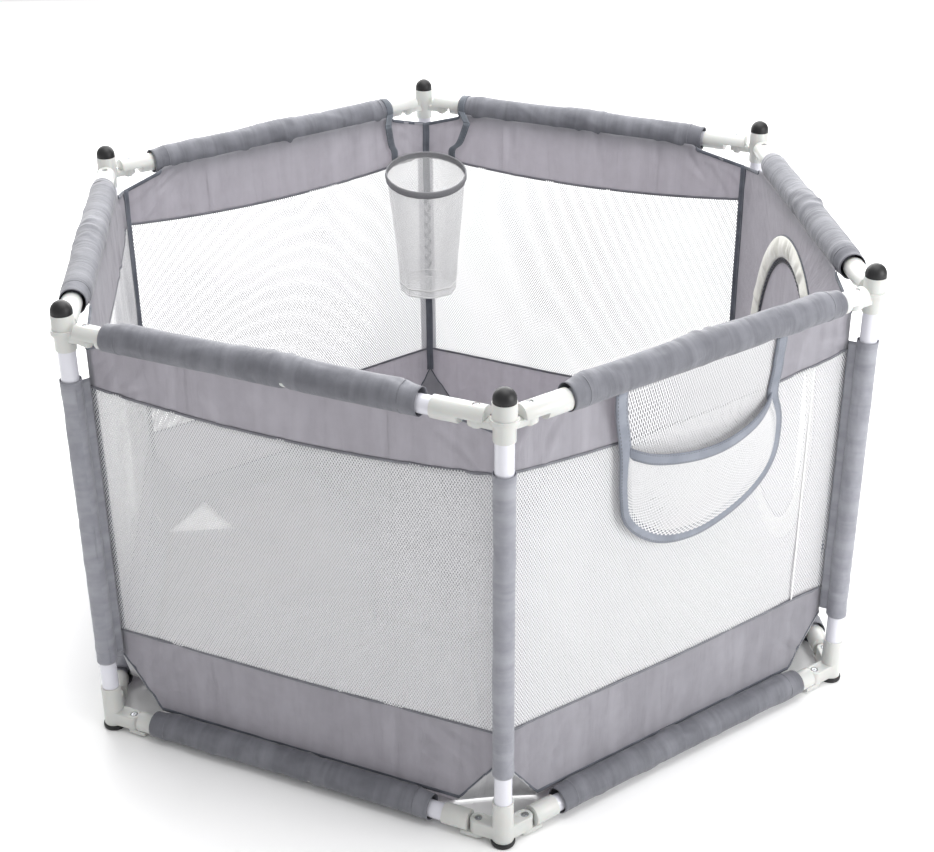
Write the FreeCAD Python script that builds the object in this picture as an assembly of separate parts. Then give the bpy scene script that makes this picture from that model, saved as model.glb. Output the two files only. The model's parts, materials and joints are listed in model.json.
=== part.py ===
import FreeCAD, Part
import os
from math import cos, hypot, radians, sin, sqrt, tan

# Folding six-sided playpen, in millimetres. Z is up, the floor is Z = 0, and the origin is
# the middle of the floor. Post 1 stands at -Y, and posts and sides count anticlockwise.
# A side frame has X along the side, Y inwards and Z up, with its origin at mid side.
# A post frame has X along the anticlockwise tangent, Y inwards and Z up.

Vector = FreeCAD.Vector
os.makedirs("parts", exist_ok=True)

# ---- driving dimensions -----------------------------------------------------------------
SIDES = 6
CORNER_RADIUS = 640.0       # frame centre to each post's axis
TOP_RAIL_Z = 657.0          # axis height of the top rails
BOTTOM_RAIL_Z = 22.0        # axis height of the bottom rails
TUBE_R = 12.5
TUBE_WALL = 1.2
RUN_GAP = 0.05              # radial clearance of a hinge pin
OPEN_GAP = 0.4              # radial clearance at the pivot where the linkage is opened
BODY_GAP = 0.5              # between faces of two bodies
SEAM_GAP = 0.6              # between two cloth panels of one wall
CLOTH = 1.6
OVER = 1.0                  # a cutter runs past what it cuts by this much
FAR = 1000.0                # longer than any side of the playpen

PIN_REACH = 37.0            # post axis to a rail's hinge pin
PIN_R = 3.0
PIN_HEAD_R = 4.5
PIN_HEAD_H = 2.0
OPEN_SIDE = 1               # the pivot between post 1 and this side's first half is open

# top connector
SOCKET_WALL = 2.1
SOCKET_DROP = 27.0          # socket below the rail axis
COLLAR_WALL = 3.3
COLLAR_TOP = 25.0           # collar above the rail axis
ARM_TOP = -2.0              # top face of the arms, from the rail axis
ARM_H = 9.5
ARM_HALF = 9.0
ARM_END_R = 11.5
BOSS_R = 6.0
BOSS_H = 4.5
LIP_PROUD = 2.7
LIP_H = 7.0
# top rail end fitting
FITTING_WALL = 2.5
TOP_FITTING_LEAD = 14.0     # fitting's end before the hinge pin
TOP_FITTING_LENGTH = 72.0
HALF_CUT = 35.0             # length of the stretch that is cut away below, over the arm
SEAT_DEPTH = 4.0            # the screw head's seat, from the fitting's top
RAIL_STOP = 4.0             # solid stretch between the half cut and the rail's end
# bottom connector
BASE_SOCKET_WALL = 2.7
BASE_SOCKET_RISE = 51.0     # above the bottom rail's axis
EAR_DROP = 12.0
EAR_RISE = 9.0
EAR_HALF = 11.5
EAR_ROUND = 2.0
EAR_RECESS_GAP = 1.4        # shadow gap round the sunk screw head
PIN_SINK = 1.0
TONGUE_DROP = 19.0
TONGUE_HALF = 10.5
BASE_FITTING_LAG = 13.0     # fitting's end past the hinge pin
BASE_FITTING_LENGTH = 38.0
BASE_RAIL_STOP = 10.0
EAR_RUN_GAP = 1.5           # hollow end of the bottom fitting round the ear
# mid-rail hinge fitting, hidden in the rail cover
MID_FITTING_WALL = 2.0
MID_FITTING_LENGTH = 58.0
MID_FACE_GAP = 2.0
MID_PIN_R = 2.0
KNUCKLE_WALL = 2.5
KNUCKLE_H = 6.0             # height of each of the three stacked knuckles
KNUCKLE_RUN_GAP = 1.0
# rubber
CAP_STEP = 0.8              # cap's radius inside the collar's
CAP_SKIRT = 4.0
FOOT_H = 5.0
FOOT_TAPER = 3.0
FOOT_FLANGE_H = 4.0
# fabric
WALL_INSET = 24.0           # tub wall's middle plane, inwards from the rail axis
WALL_DROP = 17.0            # wall's top below the top rail's axis
WALL_LIFT = 21.0            # wall's foot above the bottom rail's axis
BAND_HEIGHT = 80.0
LOW_BAND_HEIGHT = 121.0
CORNER_CUT_W = 60.0         # cut-off lower corners of a wall
CORNER_CUT_H = 75.0
SKIRT_FOOT_Z = 8.0
SKIRT_RUN = 22.0
FLOOR_CLOTH = 2.4
FLOOR_Z = 3.0
# ends of the top rail covers from the post axis, at a side's -X and +X end
TOP_COVER_ENDS = {1: (96.0, 70.0), 2: (92.0, 98.0), 3: (98.0, 78.0),
                  4: (82.0, 80.0), 5: (92.0, 92.0), 6: (66.0, 112.0)}
LOW_COVER_ENDS = {1: (96.0, 76.0), 2: (90.0, 90.0), 3: (90.0, 90.0),
                  4: (90.0, 90.0), 5: (90.0, 90.0), 6: (74.0, 108.0)}
COVER_INSET = 4.0           # the walls pull the covers inwards
COVER_TOP_RISE = 3.0        # cover's middle above the rail axis
COVER_LOW_RISE = 2.0
COVER_EASE = 0.4            # clearance between the fittings and the covers
SLEEVE_EASE = 0.3
SLEEVE_LIFT = 47.0          # sleeve's foot above the base socket
SLEEVE_DROP = 72.0          # sleeve's top below the top rail's axis
WEB_END = 10.0              # the sleeve's web stops short of its ends
# zip door in side 2
DOOR_SIDE = 2
DOOR_CENTRE_X = -5.0
DOOR_RISE = 8.5             # door's middle above the wall's middle
DOOR_HALF_W = 158.0
DOOR_MARGIN = 77.5          # door's top and foot inside the wall's
DOOR_HINGE_REACH = 118.0    # door's middle to its sewn edge
ZIP_RING = 36.0             # gathered facing round the door
ZIP_RING_PROUD = 1.4
# storage pocket on side 1
POCKET_SIDE = 1
POCKET_MIDDLE = 12.0
POCKET_HALF_W = 140.0
POCKET_DROP = 6.0           # below the wall's top
POCKET_BACK_H = 129.0       # back sheet above the mouth
POCKET_STRAIGHT_H = 35.0    # mouth to the start of the rounded bottom
POCKET_ROUND_H = 85.0
POCKET_GAP = 4.7            # pocket's back to the wall
POCKET_DEPTH = 17.0
# ball hoop at post 4
HOOP_POST = 4
HOOP_X = -8.0
HOOP_REACH = 128.0          # post axis to the ring's middle
HOOP_DROP = 97.0            # ring's middle below the top rail's axis
NET_SHIFT = 6.0             # base further in than the ring
NET_H = 222.0
HOOP_R = 74.0
HOOP_BAND_H = 13.0
HOOP_BAND_T = 3.0
HOOP_TILT = 11.0
NET_BASE_R = 50.0
NET_T = 1.6
STRAP_W = 13.0
STRAP_T = 1.6
STRAP_EDGE = 1.0            # strap loop to the cover's end
STRAP_PIVOT_REACH = 84.0    # post axis to the line the hoop hangs from
STRAP_SPREAD = 72.0         # half the distance between the straps' upper ends
STRAP_SLANT = 0.6           # the straps face the walls: sideways run per run along X

# ---- values that follow -----------------------------------------------------------------
SIDE_HALF = CORNER_RADIUS * sin(radians(180.0 / SIDES))
APOTHEM = CORNER_RADIUS * cos(radians(180.0 / SIDES))
TURN = 360.0 / SIDES
ARM_TURN = 180.0 / SIDES
WALL_HALF = SIDE_HALF - WALL_INSET * tan(radians(ARM_TURN)) - SEAM_GAP
SOCKET_R = TUBE_R + SOCKET_WALL
FITTING_R = TUBE_R + FITTING_WALL
MID_FITTING_R = TUBE_R + MID_FITTING_WALL
MID_PIVOT_INSET = MID_FITTING_R     # the mid hinge pin is on the fittings' inner side
KNUCKLE_R = MID_PIN_R + KNUCKLE_WALL
COLLAR_R = TUBE_R + COLLAR_WALL
LIP_R = COLLAR_R + LIP_PROUD
COLLAR_TOP_Z = TOP_RAIL_Z + COLLAR_TOP
ARM_TOP_Z = TOP_RAIL_Z + ARM_TOP
ARM_LOW_Z = ARM_TOP_Z - ARM_H
TOP_FITTING_START = PIN_REACH - TOP_FITTING_LEAD    # from the post axis
TOP_FITTING_END = TOP_FITTING_START + TOP_FITTING_LENGTH
TOP_FITTING_FULL = TOP_FITTING_START + HALF_CUT
TOP_SEAT_Z = TOP_RAIL_Z + FITTING_R - SEAT_DEPTH
BASE_SOCKET_R = TUBE_R + BASE_SOCKET_WALL
BASE_SOCKET_TOP = BOTTOM_RAIL_Z + BASE_SOCKET_RISE
EAR_BOTTOM = BOTTOM_RAIL_Z - EAR_DROP
EAR_TOP = BOTTOM_RAIL_Z + EAR_RISE
EAR_SEAT_Z = EAR_TOP - PIN_HEAD_H - PIN_SINK
TONGUE_BOTTOM = BOTTOM_RAIL_Z - TONGUE_DROP
BASE_FITTING_START = PIN_REACH + BASE_FITTING_LAG
BASE_FITTING_END = BASE_FITTING_START + BASE_FITTING_LENGTH
CAP_R = COLLAR_R - CAP_STEP
WALL_TOP = TOP_RAIL_Z - WALL_DROP
WALL_BOTTOM = BOTTOM_RAIL_Z + WALL_LIFT
BAND_TOP_LOW = WALL_TOP - BAND_HEIGHT           # lower edge of the upper fabric band
BAND_LOW_TOP = WALL_BOTTOM + LOW_BAND_HEIGHT    # upper edge of the lower fabric band
COVER_TOP_R = FITTING_R + hypot(COVER_INSET, COVER_TOP_RISE) + COVER_EASE + CLOTH
COVER_LOW_R = FITTING_R + hypot(COVER_INSET, COVER_LOW_RISE) + COVER_EASE + CLOTH
POST_SLEEVE_R = TUBE_R + SLEEVE_EASE + CLOTH
POST_SLEEVE_LOW = BASE_SOCKET_TOP + SLEEVE_LIFT
POST_SLEEVE_HIGH = TOP_RAIL_Z - SLEEVE_DROP
DOOR_CENTRE_Z = (WALL_TOP + WALL_BOTTOM) / 2 + DOOR_RISE
DOOR_HALF_H = (WALL_TOP - WALL_BOTTOM) / 2 - DOOR_MARGIN
DOOR_HINGE_X = DOOR_CENTRE_X - DOOR_HINGE_REACH
POCKET_TOP = WALL_TOP - POCKET_DROP
POCKET_MOUTH = POCKET_TOP - POCKET_BACK_H
POCKET_STRAIGHT = POCKET_MOUTH - POCKET_STRAIGHT_H
POCKET_BACK = WALL_INSET - CLOTH / 2 - POCKET_GAP
HOOP_Y = CORNER_RADIUS - HOOP_REACH
HOOP_Z = TOP_RAIL_Z - HOOP_DROP
NET_BASE_Y = HOOP_Y - NET_SHIFT
NET_BASE_Z = HOOP_Z - NET_H
STRAP_PIVOT_Y = CORNER_RADIUS - STRAP_PIVOT_REACH
STRAP_PIVOT_Z = WALL_TOP
Z_AXIS = Vector(0, 0, 1)
ORIGIN = Vector(0, 0, 0)


def upright(r, z0, z1, x=0.0, y=0.0):
    return Part.makeCylinder(r, z1 - z0, Vector(x, y, z0))


def along(r, x0, x1, z, y=0.0):
    return Part.makeCylinder(r, x1 - x0, Vector(x0, y, z), Vector(1, 0, 0))


def block(x0, x1, y0, y1, z0, z1):
    return Part.makeBox(x1 - x0, y1 - y0, z1 - z0, Vector(x0, y0, z0))


def joined(shapes):
    whole = shapes[0].fuse(shapes[1:])
    return whole.removeSplitter()


def sheet(points, y_mid, thick):
    """A flat panel in the side's plane from (x, z) points."""
    corners = [Vector(x, y_mid - thick / 2, z) for x, z in points]
    face = Part.Face(Part.makePolygon(corners + corners[:1]))
    return face.extrude(Vector(0, thick, 0))


def oval(half_w, half_h, y_mid, thick):
    """An upright oval plate about the door's middle."""
    centre = Vector(DOOR_CENTRE_X, y_mid - thick / 2, DOOR_CENTRE_Z)
    tip = centre + Vector(0, 0, half_h)
    flank = centre + Vector(half_w, 0, 0)
    edge = Part.Ellipse(tip, flank, centre).toShape()
    return Part.Face(Part.Wire([edge])).extrude(Vector(0, thick, 0))


def turned(shape, degrees):
    copy = shape.copy()
    copy.rotate(ORIGIN, Z_AXIS, degrees)
    return copy


def at_side(shape, side):
    normal = -90.0 + ARM_TURN + TURN * (side - 1)
    copy = turned(shape, normal + 90.0)
    copy.translate(Vector(APOTHEM * cos(radians(normal)), APOTHEM * sin(radians(normal)), 0))
    return copy


def at_post(shape, post):
    spoke = -90.0 + TURN * (post - 1)
    copy = turned(shape, spoke + 90.0)
    place = Vector(CORNER_RADIUS * cos(radians(spoke)), CORNER_RADIUS * sin(radians(spoke)), 0)
    copy.translate(place)
    return copy


def save(name, shapes):
    solids = [solid for shape in shapes for solid in shape.Solids]
    Part.makeCompound(solids).exportStep("parts/" + name + ".step")


# ---- posts ------------------------------------------------------------------------------
def arms(build):
    """The piece built along +X, turned to the two rails that leave a post."""
    return [turned(build, ARM_TURN), turned(build, 180.0 - ARM_TURN)]


def post_tube():
    low = FOOT_H + FOOT_FLANGE_H
    high = COLLAR_TOP_Z - BODY_GAP
    return upright(TUBE_R, low, high).cut(upright(TUBE_R - TUBE_WALL, low - OVER, high + OVER))


def top_connector():
    socket = upright(SOCKET_R, TOP_RAIL_Z - SOCKET_DROP, ARM_TOP_Z)
    collar = upright(COLLAR_R, ARM_TOP_Z - ARM_H / 2, COLLAR_TOP_Z)
    lip = upright(LIP_R, ARM_TOP_Z - OVER, ARM_TOP_Z - OVER + LIP_H)
    lip = lip.cut(block(-2 * LIP_R, 2 * LIP_R, OVER, 2 * LIP_R, ARM_LOW_Z, COLLAR_TOP_Z))
    bar = block(0, PIN_REACH, -ARM_HALF, ARM_HALF, ARM_LOW_Z, ARM_TOP_Z)
    bar = bar.fuse([
        upright(ARM_END_R, ARM_LOW_Z, ARM_TOP_Z, PIN_REACH),
        upright(BOSS_R, ARM_LOW_Z - BOSS_H, ARM_LOW_Z, PIN_REACH),
    ])
    bar = bar.cut(upright(PIN_R, ARM_LOW_Z - BOSS_H - OVER, ARM_TOP_Z + OVER, PIN_REACH))
    whole = joined([socket, collar, lip] + arms(bar))
    return whole.cut(upright(TUBE_R, 0, COLLAR_TOP_Z + OVER))


def base_connector():
    low = FOOT_H
    socket = Part.makeCone(BASE_SOCKET_R, SOCKET_R, BASE_SOCKET_TOP - low, Vector(0, 0, low))
    ear = block(0, PIN_REACH, -EAR_HALF, EAR_HALF, EAR_BOTTOM, EAR_TOP)
    ear = ear.fuse(upright(EAR_HALF, EAR_BOTTOM, EAR_TOP, PIN_REACH))
    rims = [e for e in ear.Edges if abs(e.CenterOfMass.z - EAR_TOP) < 0.01]
    ear = ear.makeFillet(EAR_ROUND, [e for e in rims if e.CenterOfMass.x > BASE_SOCKET_R + OVER])
    ear = ear.cut(upright(PIN_R, 0, EAR_TOP + OVER, PIN_REACH))
    ear = ear.cut(upright(PIN_HEAD_R + EAR_RECESS_GAP, EAR_SEAT_Z, EAR_TOP + OVER, PIN_REACH))
    whole = joined([socket] + arms(ear))
    return whole.cut(upright(TUBE_R, low + FOOT_FLANGE_H, BASE_SOCKET_TOP + OVER))


def top_pin():
    shank = upright(PIN_R, ARM_LOW_Z - BOSS_H, TOP_SEAT_Z, PIN_REACH)
    return shank.fuse(upright(PIN_HEAD_R, TOP_SEAT_Z, TOP_SEAT_Z + PIN_HEAD_H, PIN_REACH))


def base_pin():
    shank = upright(PIN_R, TONGUE_BOTTOM, EAR_SEAT_Z, PIN_REACH)
    return shank.fuse(upright(PIN_HEAD_R, EAR_SEAT_Z, EAR_SEAT_Z + PIN_HEAD_H, PIN_REACH))


def cap():
    skirt = upright(CAP_R, COLLAR_TOP_Z, COLLAR_TOP_Z + CAP_SKIRT)
    dome = Part.makeSphere(CAP_R, Vector(0, 0, COLLAR_TOP_Z + CAP_SKIRT), Z_AXIS, 0, 90, 360)
    return joined([skirt, dome])


def foot():
    return Part.makeCone(CAP_R - FOOT_TAPER, CAP_R, FOOT_H, Vector(0, 0, 0))


def post_sleeve():
    shell = upright(POST_SLEEVE_R, POST_SLEEVE_LOW, POST_SLEEVE_HIGH)
    reach = WALL_INSET / cos(radians(ARM_TURN)) - CLOTH - SEAM_GAP
    web_low, web_high = POST_SLEEVE_LOW + WEB_END, POST_SLEEVE_HIGH - WEB_END
    web = block(-CLOTH / 2, CLOTH / 2, 0, reach, web_low, web_high)
    whole = joined([shell, web])
    return whole.cut(upright(POST_SLEEVE_R - CLOTH, 0, COLLAR_TOP_Z))


for post in range(1, SIDES + 1):
    pins = arms(top_pin()) + arms(base_pin())
    save(f"post_{post}_tube", [at_post(post_tube(), post)])
    moulded = [top_connector(), base_connector()]
    save(f"post_{post}_connectors", [at_post(s, post) for s in moulded + pins])
    save(f"post_{post}_caps", [at_post(cap(), post), at_post(foot(), post)])
    save(f"post_{post}_sleeve", [at_post(post_sleeve(), post)])


# ---- half sides: the post is at X = -SIDE_HALF, the mid hinge at X = 0 ------------------------
def rail(z, start):
    first, last = -SIDE_HALF + start, -MID_FITTING_LENGTH / 2
    return along(TUBE_R, first, last, z).cut(along(TUBE_R - TUBE_WALL, first - OVER, last + OVER, z))


def top_fitting(pin_gap):
    pin_x = -SIDE_HALF + PIN_REACH
    first, last = -SIDE_HALF + TOP_FITTING_START, -SIDE_HALF + TOP_FITTING_END
    full = -SIDE_HALF + TOP_FITTING_FULL
    body = along(FITTING_R, first, last, TOP_RAIL_Z)
    under = block(first - OVER, full, -2 * FITTING_R, 2 * FITTING_R, 0, ARM_TOP_Z + BODY_GAP)
    body = body.cut(under)
    body = body.cut(along(TUBE_R, full + RAIL_STOP, last + OVER, TOP_RAIL_Z))
    body = body.cut(upright(PIN_R + pin_gap, 0, 2 * TOP_RAIL_Z, pin_x))
    seat = TOP_SEAT_Z - BODY_GAP
    return body.cut(upright(PIN_HEAD_R + BODY_GAP, seat, seat + FITTING_R, pin_x))


def base_fitting(pin_gap):
    pin_x = -SIDE_HALF + PIN_REACH
    first, last = -SIDE_HALF + BASE_FITTING_START, -SIDE_HALF + BASE_FITTING_END
    tongue_top = EAR_BOTTOM - BODY_GAP
    body = along(FITTING_R, first, last, BOTTOM_RAIL_Z)
    body = body.cut(upright(EAR_HALF + EAR_RUN_GAP, tongue_top, 3 * FITTING_R, pin_x))
    seat = first + BASE_RAIL_STOP
    tongue = block(pin_x, seat, -TONGUE_HALF, TONGUE_HALF, TONGUE_BOTTOM, tongue_top)
    tongue = tongue.fuse(upright(TONGUE_HALF, TONGUE_BOTTOM, tongue_top, pin_x))
    body = joined([body, tongue])
    body = body.cut(along(TUBE_R, seat, last + OVER, BOTTOM_RAIL_Z))
    return body.cut(upright(PIN_R + pin_gap, 0, EAR_TOP, pin_x))


def mid_fitting(z, outer):
    """End fitting of a rail at the mid hinge: two outer knuckles, or the middle one."""
    body = along(MID_FITTING_R, -MID_FITTING_LENGTH, -MID_FACE_GAP, z)
    body = body.cut(along(TUBE_R, -MID_FITTING_LENGTH - OVER, -MID_FITTING_LENGTH / 2, z))
    levels = [z - 1.5 * KNUCKLE_H + step * KNUCKLE_H for step in range(4)]
    stack = list(zip(levels[:-1], levels[1:]))
    own = [stack[0], stack[2]] if outer else [stack[1]]
    others = [stack[1]] if outer else [stack[0], stack[2]]
    gap = BODY_GAP / 2
    for low, high in others:
        notch = upright(KNUCKLE_R + KNUCKLE_RUN_GAP, low - gap, high + gap, 0, MID_PIVOT_INSET)
        body = body.cut(notch)
    lugs = []
    for low, high in own:
        boss = upright(KNUCKLE_R, low + gap, high - gap, 0, MID_PIVOT_INSET)
        root_y = MID_PIVOT_INSET - KNUCKLE_R
        root = block(-2 * KNUCKLE_R, 0, root_y, MID_PIVOT_INSET, low + gap, high - gap)
        lugs.append(boss.fuse(root))
    body = joined([body] + lugs)
    hole = MID_PIN_R if outer else MID_PIN_R + RUN_GAP
    return body.cut(upright(hole, z - FITTING_R, z + FITTING_R, 0, MID_PIVOT_INSET))


def mid_pin(z):
    half = 1.5 * KNUCKLE_H
    return upright(MID_PIN_R, z - half, z + half, 0, MID_PIVOT_INSET)


def half_rails():
    top = rail(TOP_RAIL_Z, TOP_FITTING_FULL + RAIL_STOP)
    return [top, rail(BOTTOM_RAIL_Z, BASE_FITTING_START + BASE_RAIL_STOP)]


def half_fittings(first_half, pin_gap):
    shapes = [top_fitting(pin_gap), base_fitting(pin_gap)]
    shapes += [mid_fitting(TOP_RAIL_Z, first_half), mid_fitting(BOTTOM_RAIL_Z, first_half)]
    if first_half:
        shapes += [mid_pin(TOP_RAIL_Z), mid_pin(BOTTOM_RAIL_Z)]
    return shapes


def mirrored(shapes):
    return [shape.mirror(ORIGIN, Vector(1, 0, 0)) for shape in shapes]


for side in range(1, SIDES + 1):
    gap = OPEN_GAP if side == OPEN_SIDE else RUN_GAP
    save(f"side_{side}a_rails", [at_side(s, side) for s in half_rails()])
    save(f"side_{side}b_rails", [at_side(s, side) for s in mirrored(half_rails())])
    save(f"side_{side}a_fittings", [at_side(s, side) for s in half_fittings(True, gap)])
    second = mirrored(half_fittings(False, RUN_GAP))
    save(f"side_{side}b_fittings", [at_side(s, side) for s in second])


# ---- fabric walls -----------------------------------------------------------------------
def rail_cover(z, r, ends):
    first, last = ends[0] - SIDE_HALF, SIDE_HALF - ends[1]
    shell = along(r, first, last, z, COVER_INSET)
    return shell.cut(along(r - CLOTH, first - OVER, last + OVER, z, COVER_INSET))


def lower_outline(top):
    cut_x = WALL_HALF - CORNER_CUT_W
    cut_z = WALL_BOTTOM + CORNER_CUT_H
    right = [(cut_x, WALL_BOTTOM), (WALL_HALF, cut_z), (WALL_HALF, top)]
    return right + [(-x, z) for x, z in reversed(right)]


def rectangle(z0, z1):
    return [(-WALL_HALF, z0), (WALL_HALF, z0), (WALL_HALF, z1), (-WALL_HALF, z1)]


def skirt():
    """The strip that slopes from the wall's lower edge to the floor cloth."""
    half = WALL_HALF - CORNER_CUT_W - SKIRT_RUN
    y0, z0 = WALL_INSET, WALL_BOTTOM - SEAM_GAP
    y1, z1 = y0 + SKIRT_RUN, SKIRT_FOOT_Z
    ends = [(y0, z0), (y0 + CLOTH, z0), (y1 + CLOTH, z1), (y1, z1)]
    corners = [Vector(-half, y, z) for y, z in ends]
    return Part.Face(Part.makePolygon(corners + corners[:1])).extrude(Vector(2 * half, 0, 0))


def door_wall():
    panel = sheet(lower_outline(WALL_TOP), WALL_INSET, CLOTH)
    hole = oval(DOOR_HALF_W, DOOR_HALF_H, WALL_INSET, 3 * CLOTH)
    hole = hole.cut(block(-FAR, DOOR_HINGE_X - SEAM_GAP, 0, FAR, 0, FAR))
    panel = panel.cut(hole)
    ring_y = WALL_INSET + CLOTH / 2 + ZIP_RING_PROUD / 2
    ring = oval(DOOR_HALF_W + ZIP_RING, DOOR_HALF_H + ZIP_RING, ring_y, ZIP_RING_PROUD)
    ring = ring.cut(oval(DOOR_HALF_W + SEAM_GAP, DOOR_HALF_H + SEAM_GAP, ring_y, 3 * ZIP_RING_PROUD))
    return [panel, ring]


def mesh_wall():
    gap = SEAM_GAP / 2
    return [
        sheet(rectangle(BAND_TOP_LOW + gap, WALL_TOP), WALL_INSET, CLOTH),
        sheet(rectangle(BAND_LOW_TOP + gap, BAND_TOP_LOW - gap), WALL_INSET, CLOTH),
        sheet(lower_outline(BAND_LOW_TOP - gap), WALL_INSET, CLOTH),
    ]


def strap_loop(cover_end):
    """Loop of webbing sewn round the top rail cover, near the post at +X."""
    x = SIDE_HALF - cover_end - STRAP_EDGE - STRAP_W / 2
    r = COVER_TOP_R + BODY_GAP
    z = TOP_RAIL_Z + COVER_TOP_RISE
    ring = along(r + STRAP_T, x - STRAP_W / 2, x + STRAP_W / 2, z, COVER_INSET)
    return ring.cut(along(r, x - STRAP_W, x + STRAP_W, z, COVER_INSET))


for side in range(1, SIDES + 1):
    pieces = door_wall() if side == DOOR_SIDE else mesh_wall()
    top_ends, low_ends = TOP_COVER_ENDS[side], LOW_COVER_ENDS[side]
    pieces += [skirt(), rail_cover(TOP_RAIL_Z + COVER_TOP_RISE, COVER_TOP_R, top_ends)]
    pieces.append(rail_cover(BOTTOM_RAIL_Z + COVER_LOW_RISE, COVER_LOW_R, low_ends))
    if side == HOOP_POST - 1:
        pieces.append(strap_loop(top_ends[1]))
    if side == HOOP_POST:
        pieces += mirrored([strap_loop(top_ends[0])])
    save(f"wall_{side}", [at_side(s, side) for s in pieces])


def door_flap():
    plate = oval(DOOR_HALF_W - SEAM_GAP, DOOR_HALF_H - SEAM_GAP, WALL_INSET, CLOTH)
    return plate.cut(block(-FAR, DOOR_HINGE_X, 0, FAR, 0, FAR))


save("door_panel", [at_side(door_flap(), DOOR_SIDE)])


def tub_floor():
    """Hexagon of floor cloth with its corners cut like the walls'."""
    apothem = APOTHEM - WALL_INSET - SKIRT_RUN - CLOTH
    half = WALL_HALF - CORNER_CUT_W - SKIRT_RUN
    points = []
    for side in range(SIDES):
        normal = radians(-90.0 + ARM_TURN + TURN * side)
        c, s = cos(normal), sin(normal)
        for x in (-half, half):
            points.append(Vector(apothem * c - x * s, apothem * s + x * c, FLOOR_Z))
    return Part.Face(Part.makePolygon(points + points[:1])).extrude(Vector(0, 0, FLOOR_CLOTH))


save("tub_floor", [tub_floor()])


# ---- storage pocket: a flat bag hung from the rail cover, outside the wall ------------------
def pocket_plate(top, grow, y0, y1):
    """A plate with a half-oval lower end."""
    middle, half, drop = POCKET_MIDDLE, POCKET_HALF_W + grow, POCKET_ROUND_H + grow
    centre = Vector(middle, y0, POCKET_STRAIGHT)
    flank, foot_point = centre + Vector(half, 0, 0), centre + Vector(0, 0, drop)
    oval_edge = Part.Ellipse(flank, foot_point, centre).toShape()
    round_end = Part.Face(Part.Wire([oval_edge])).extrude(Vector(0, y1 - y0, 0))
    straight = block(middle - half, middle + half, y0, y1, POCKET_STRAIGHT, top)
    whole = joined([round_end, straight])
    return whole.common(block(-FAR, FAR, y0 - OVER, y1 + OVER, 0, top))


def storage_pocket():
    front = POCKET_BACK - POCKET_DEPTH
    back_sheet = pocket_plate(POCKET_TOP, 0, POCKET_BACK - CLOTH, POCKET_BACK)
    bag = pocket_plate(POCKET_MOUTH, 0, front, POCKET_BACK - CLOTH)
    inside = pocket_plate(POCKET_MOUTH + OVER, -CLOTH, front + CLOTH, POCKET_BACK - CLOTH)
    return joined([back_sheet, bag.cut(inside)])


save("storage_pocket", [at_side(storage_pocket(), POCKET_SIDE)])


# ---- ball hoop --------------------------------------------------------------------------
def tilted(shape):
    """Tips a hoop piece forwards about the ring's middle and moves it to its place."""
    copy = shape.copy()
    copy.rotate(ORIGIN, Vector(1, 0, 0), HOOP_TILT)
    copy.translate(Vector(HOOP_X, HOOP_Y, HOOP_Z))
    return copy


def hoop_ring():
    band = upright(HOOP_R, -HOOP_BAND_H / 2, HOOP_BAND_H / 2)
    return tilted(band.cut(upright(HOOP_R - HOOP_BAND_T, -HOOP_BAND_H, HOOP_BAND_H)))


def net_cone(rim_r, rim_z, base_r, base_z):
    """The space between a circle under the tipped ring and a level one at the base."""
    rim = tilted(Part.makeCircle(rim_r, Vector(0, 0, rim_z)))
    base = Part.makeCircle(base_r, Vector(HOOP_X, NET_BASE_Y, base_z))
    return Part.makeLoft([Part.Wire([base]), Part.Wire(rim.Edges)], True)


def hoop_net():
    rim_r = HOOP_R - HOOP_BAND_T / 2
    rim_z = -HOOP_BAND_H / 2 - SEAM_GAP
    outer = net_cone(rim_r, rim_z, NET_BASE_R, NET_BASE_Z)
    inner = net_cone(rim_r - NET_T, rim_z, NET_BASE_R - NET_T, NET_BASE_Z + NET_T)
    return outer.cut(inner)


def hoop_strap(sign):
    """A strap from the tub's edge down to the ring's rear quarter."""
    rest = sqrt(0.5) * (HOOP_R + STRAP_T)
    rest_z = HOOP_Z - HOOP_BAND_H / 2 + rest * sin(radians(HOOP_TILT))
    low = Vector(HOOP_X + sign * rest, HOOP_Y + rest, rest_z)
    high = Vector(sign * STRAP_SPREAD, STRAP_PIVOT_Y, STRAP_PIVOT_Z)
    across = Vector(1, -sign * STRAP_SLANT, 0).normalize() * (STRAP_W / 2)
    through = Vector(sign * STRAP_SLANT, 1, 0).normalize() * STRAP_T
    ends = []
    for middle in (low, high):
        near = [middle - across, middle + across]
        corners = near + [point + through for point in reversed(near)]
        ends.append(Part.makePolygon(corners + corners[:1]))
    return Part.makeLoft(ends, True)


save("ball_hoop_ring", [hoop_ring()])
save("ball_hoop_net", [hoop_net()])
save("ball_hoop_straps", [hoop_strap(-1), hoop_strap(1)])
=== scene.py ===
import json
import math
import random

import bmesh
import bpy
import numpy as np
from mathutils import Matrix, Vector


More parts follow.
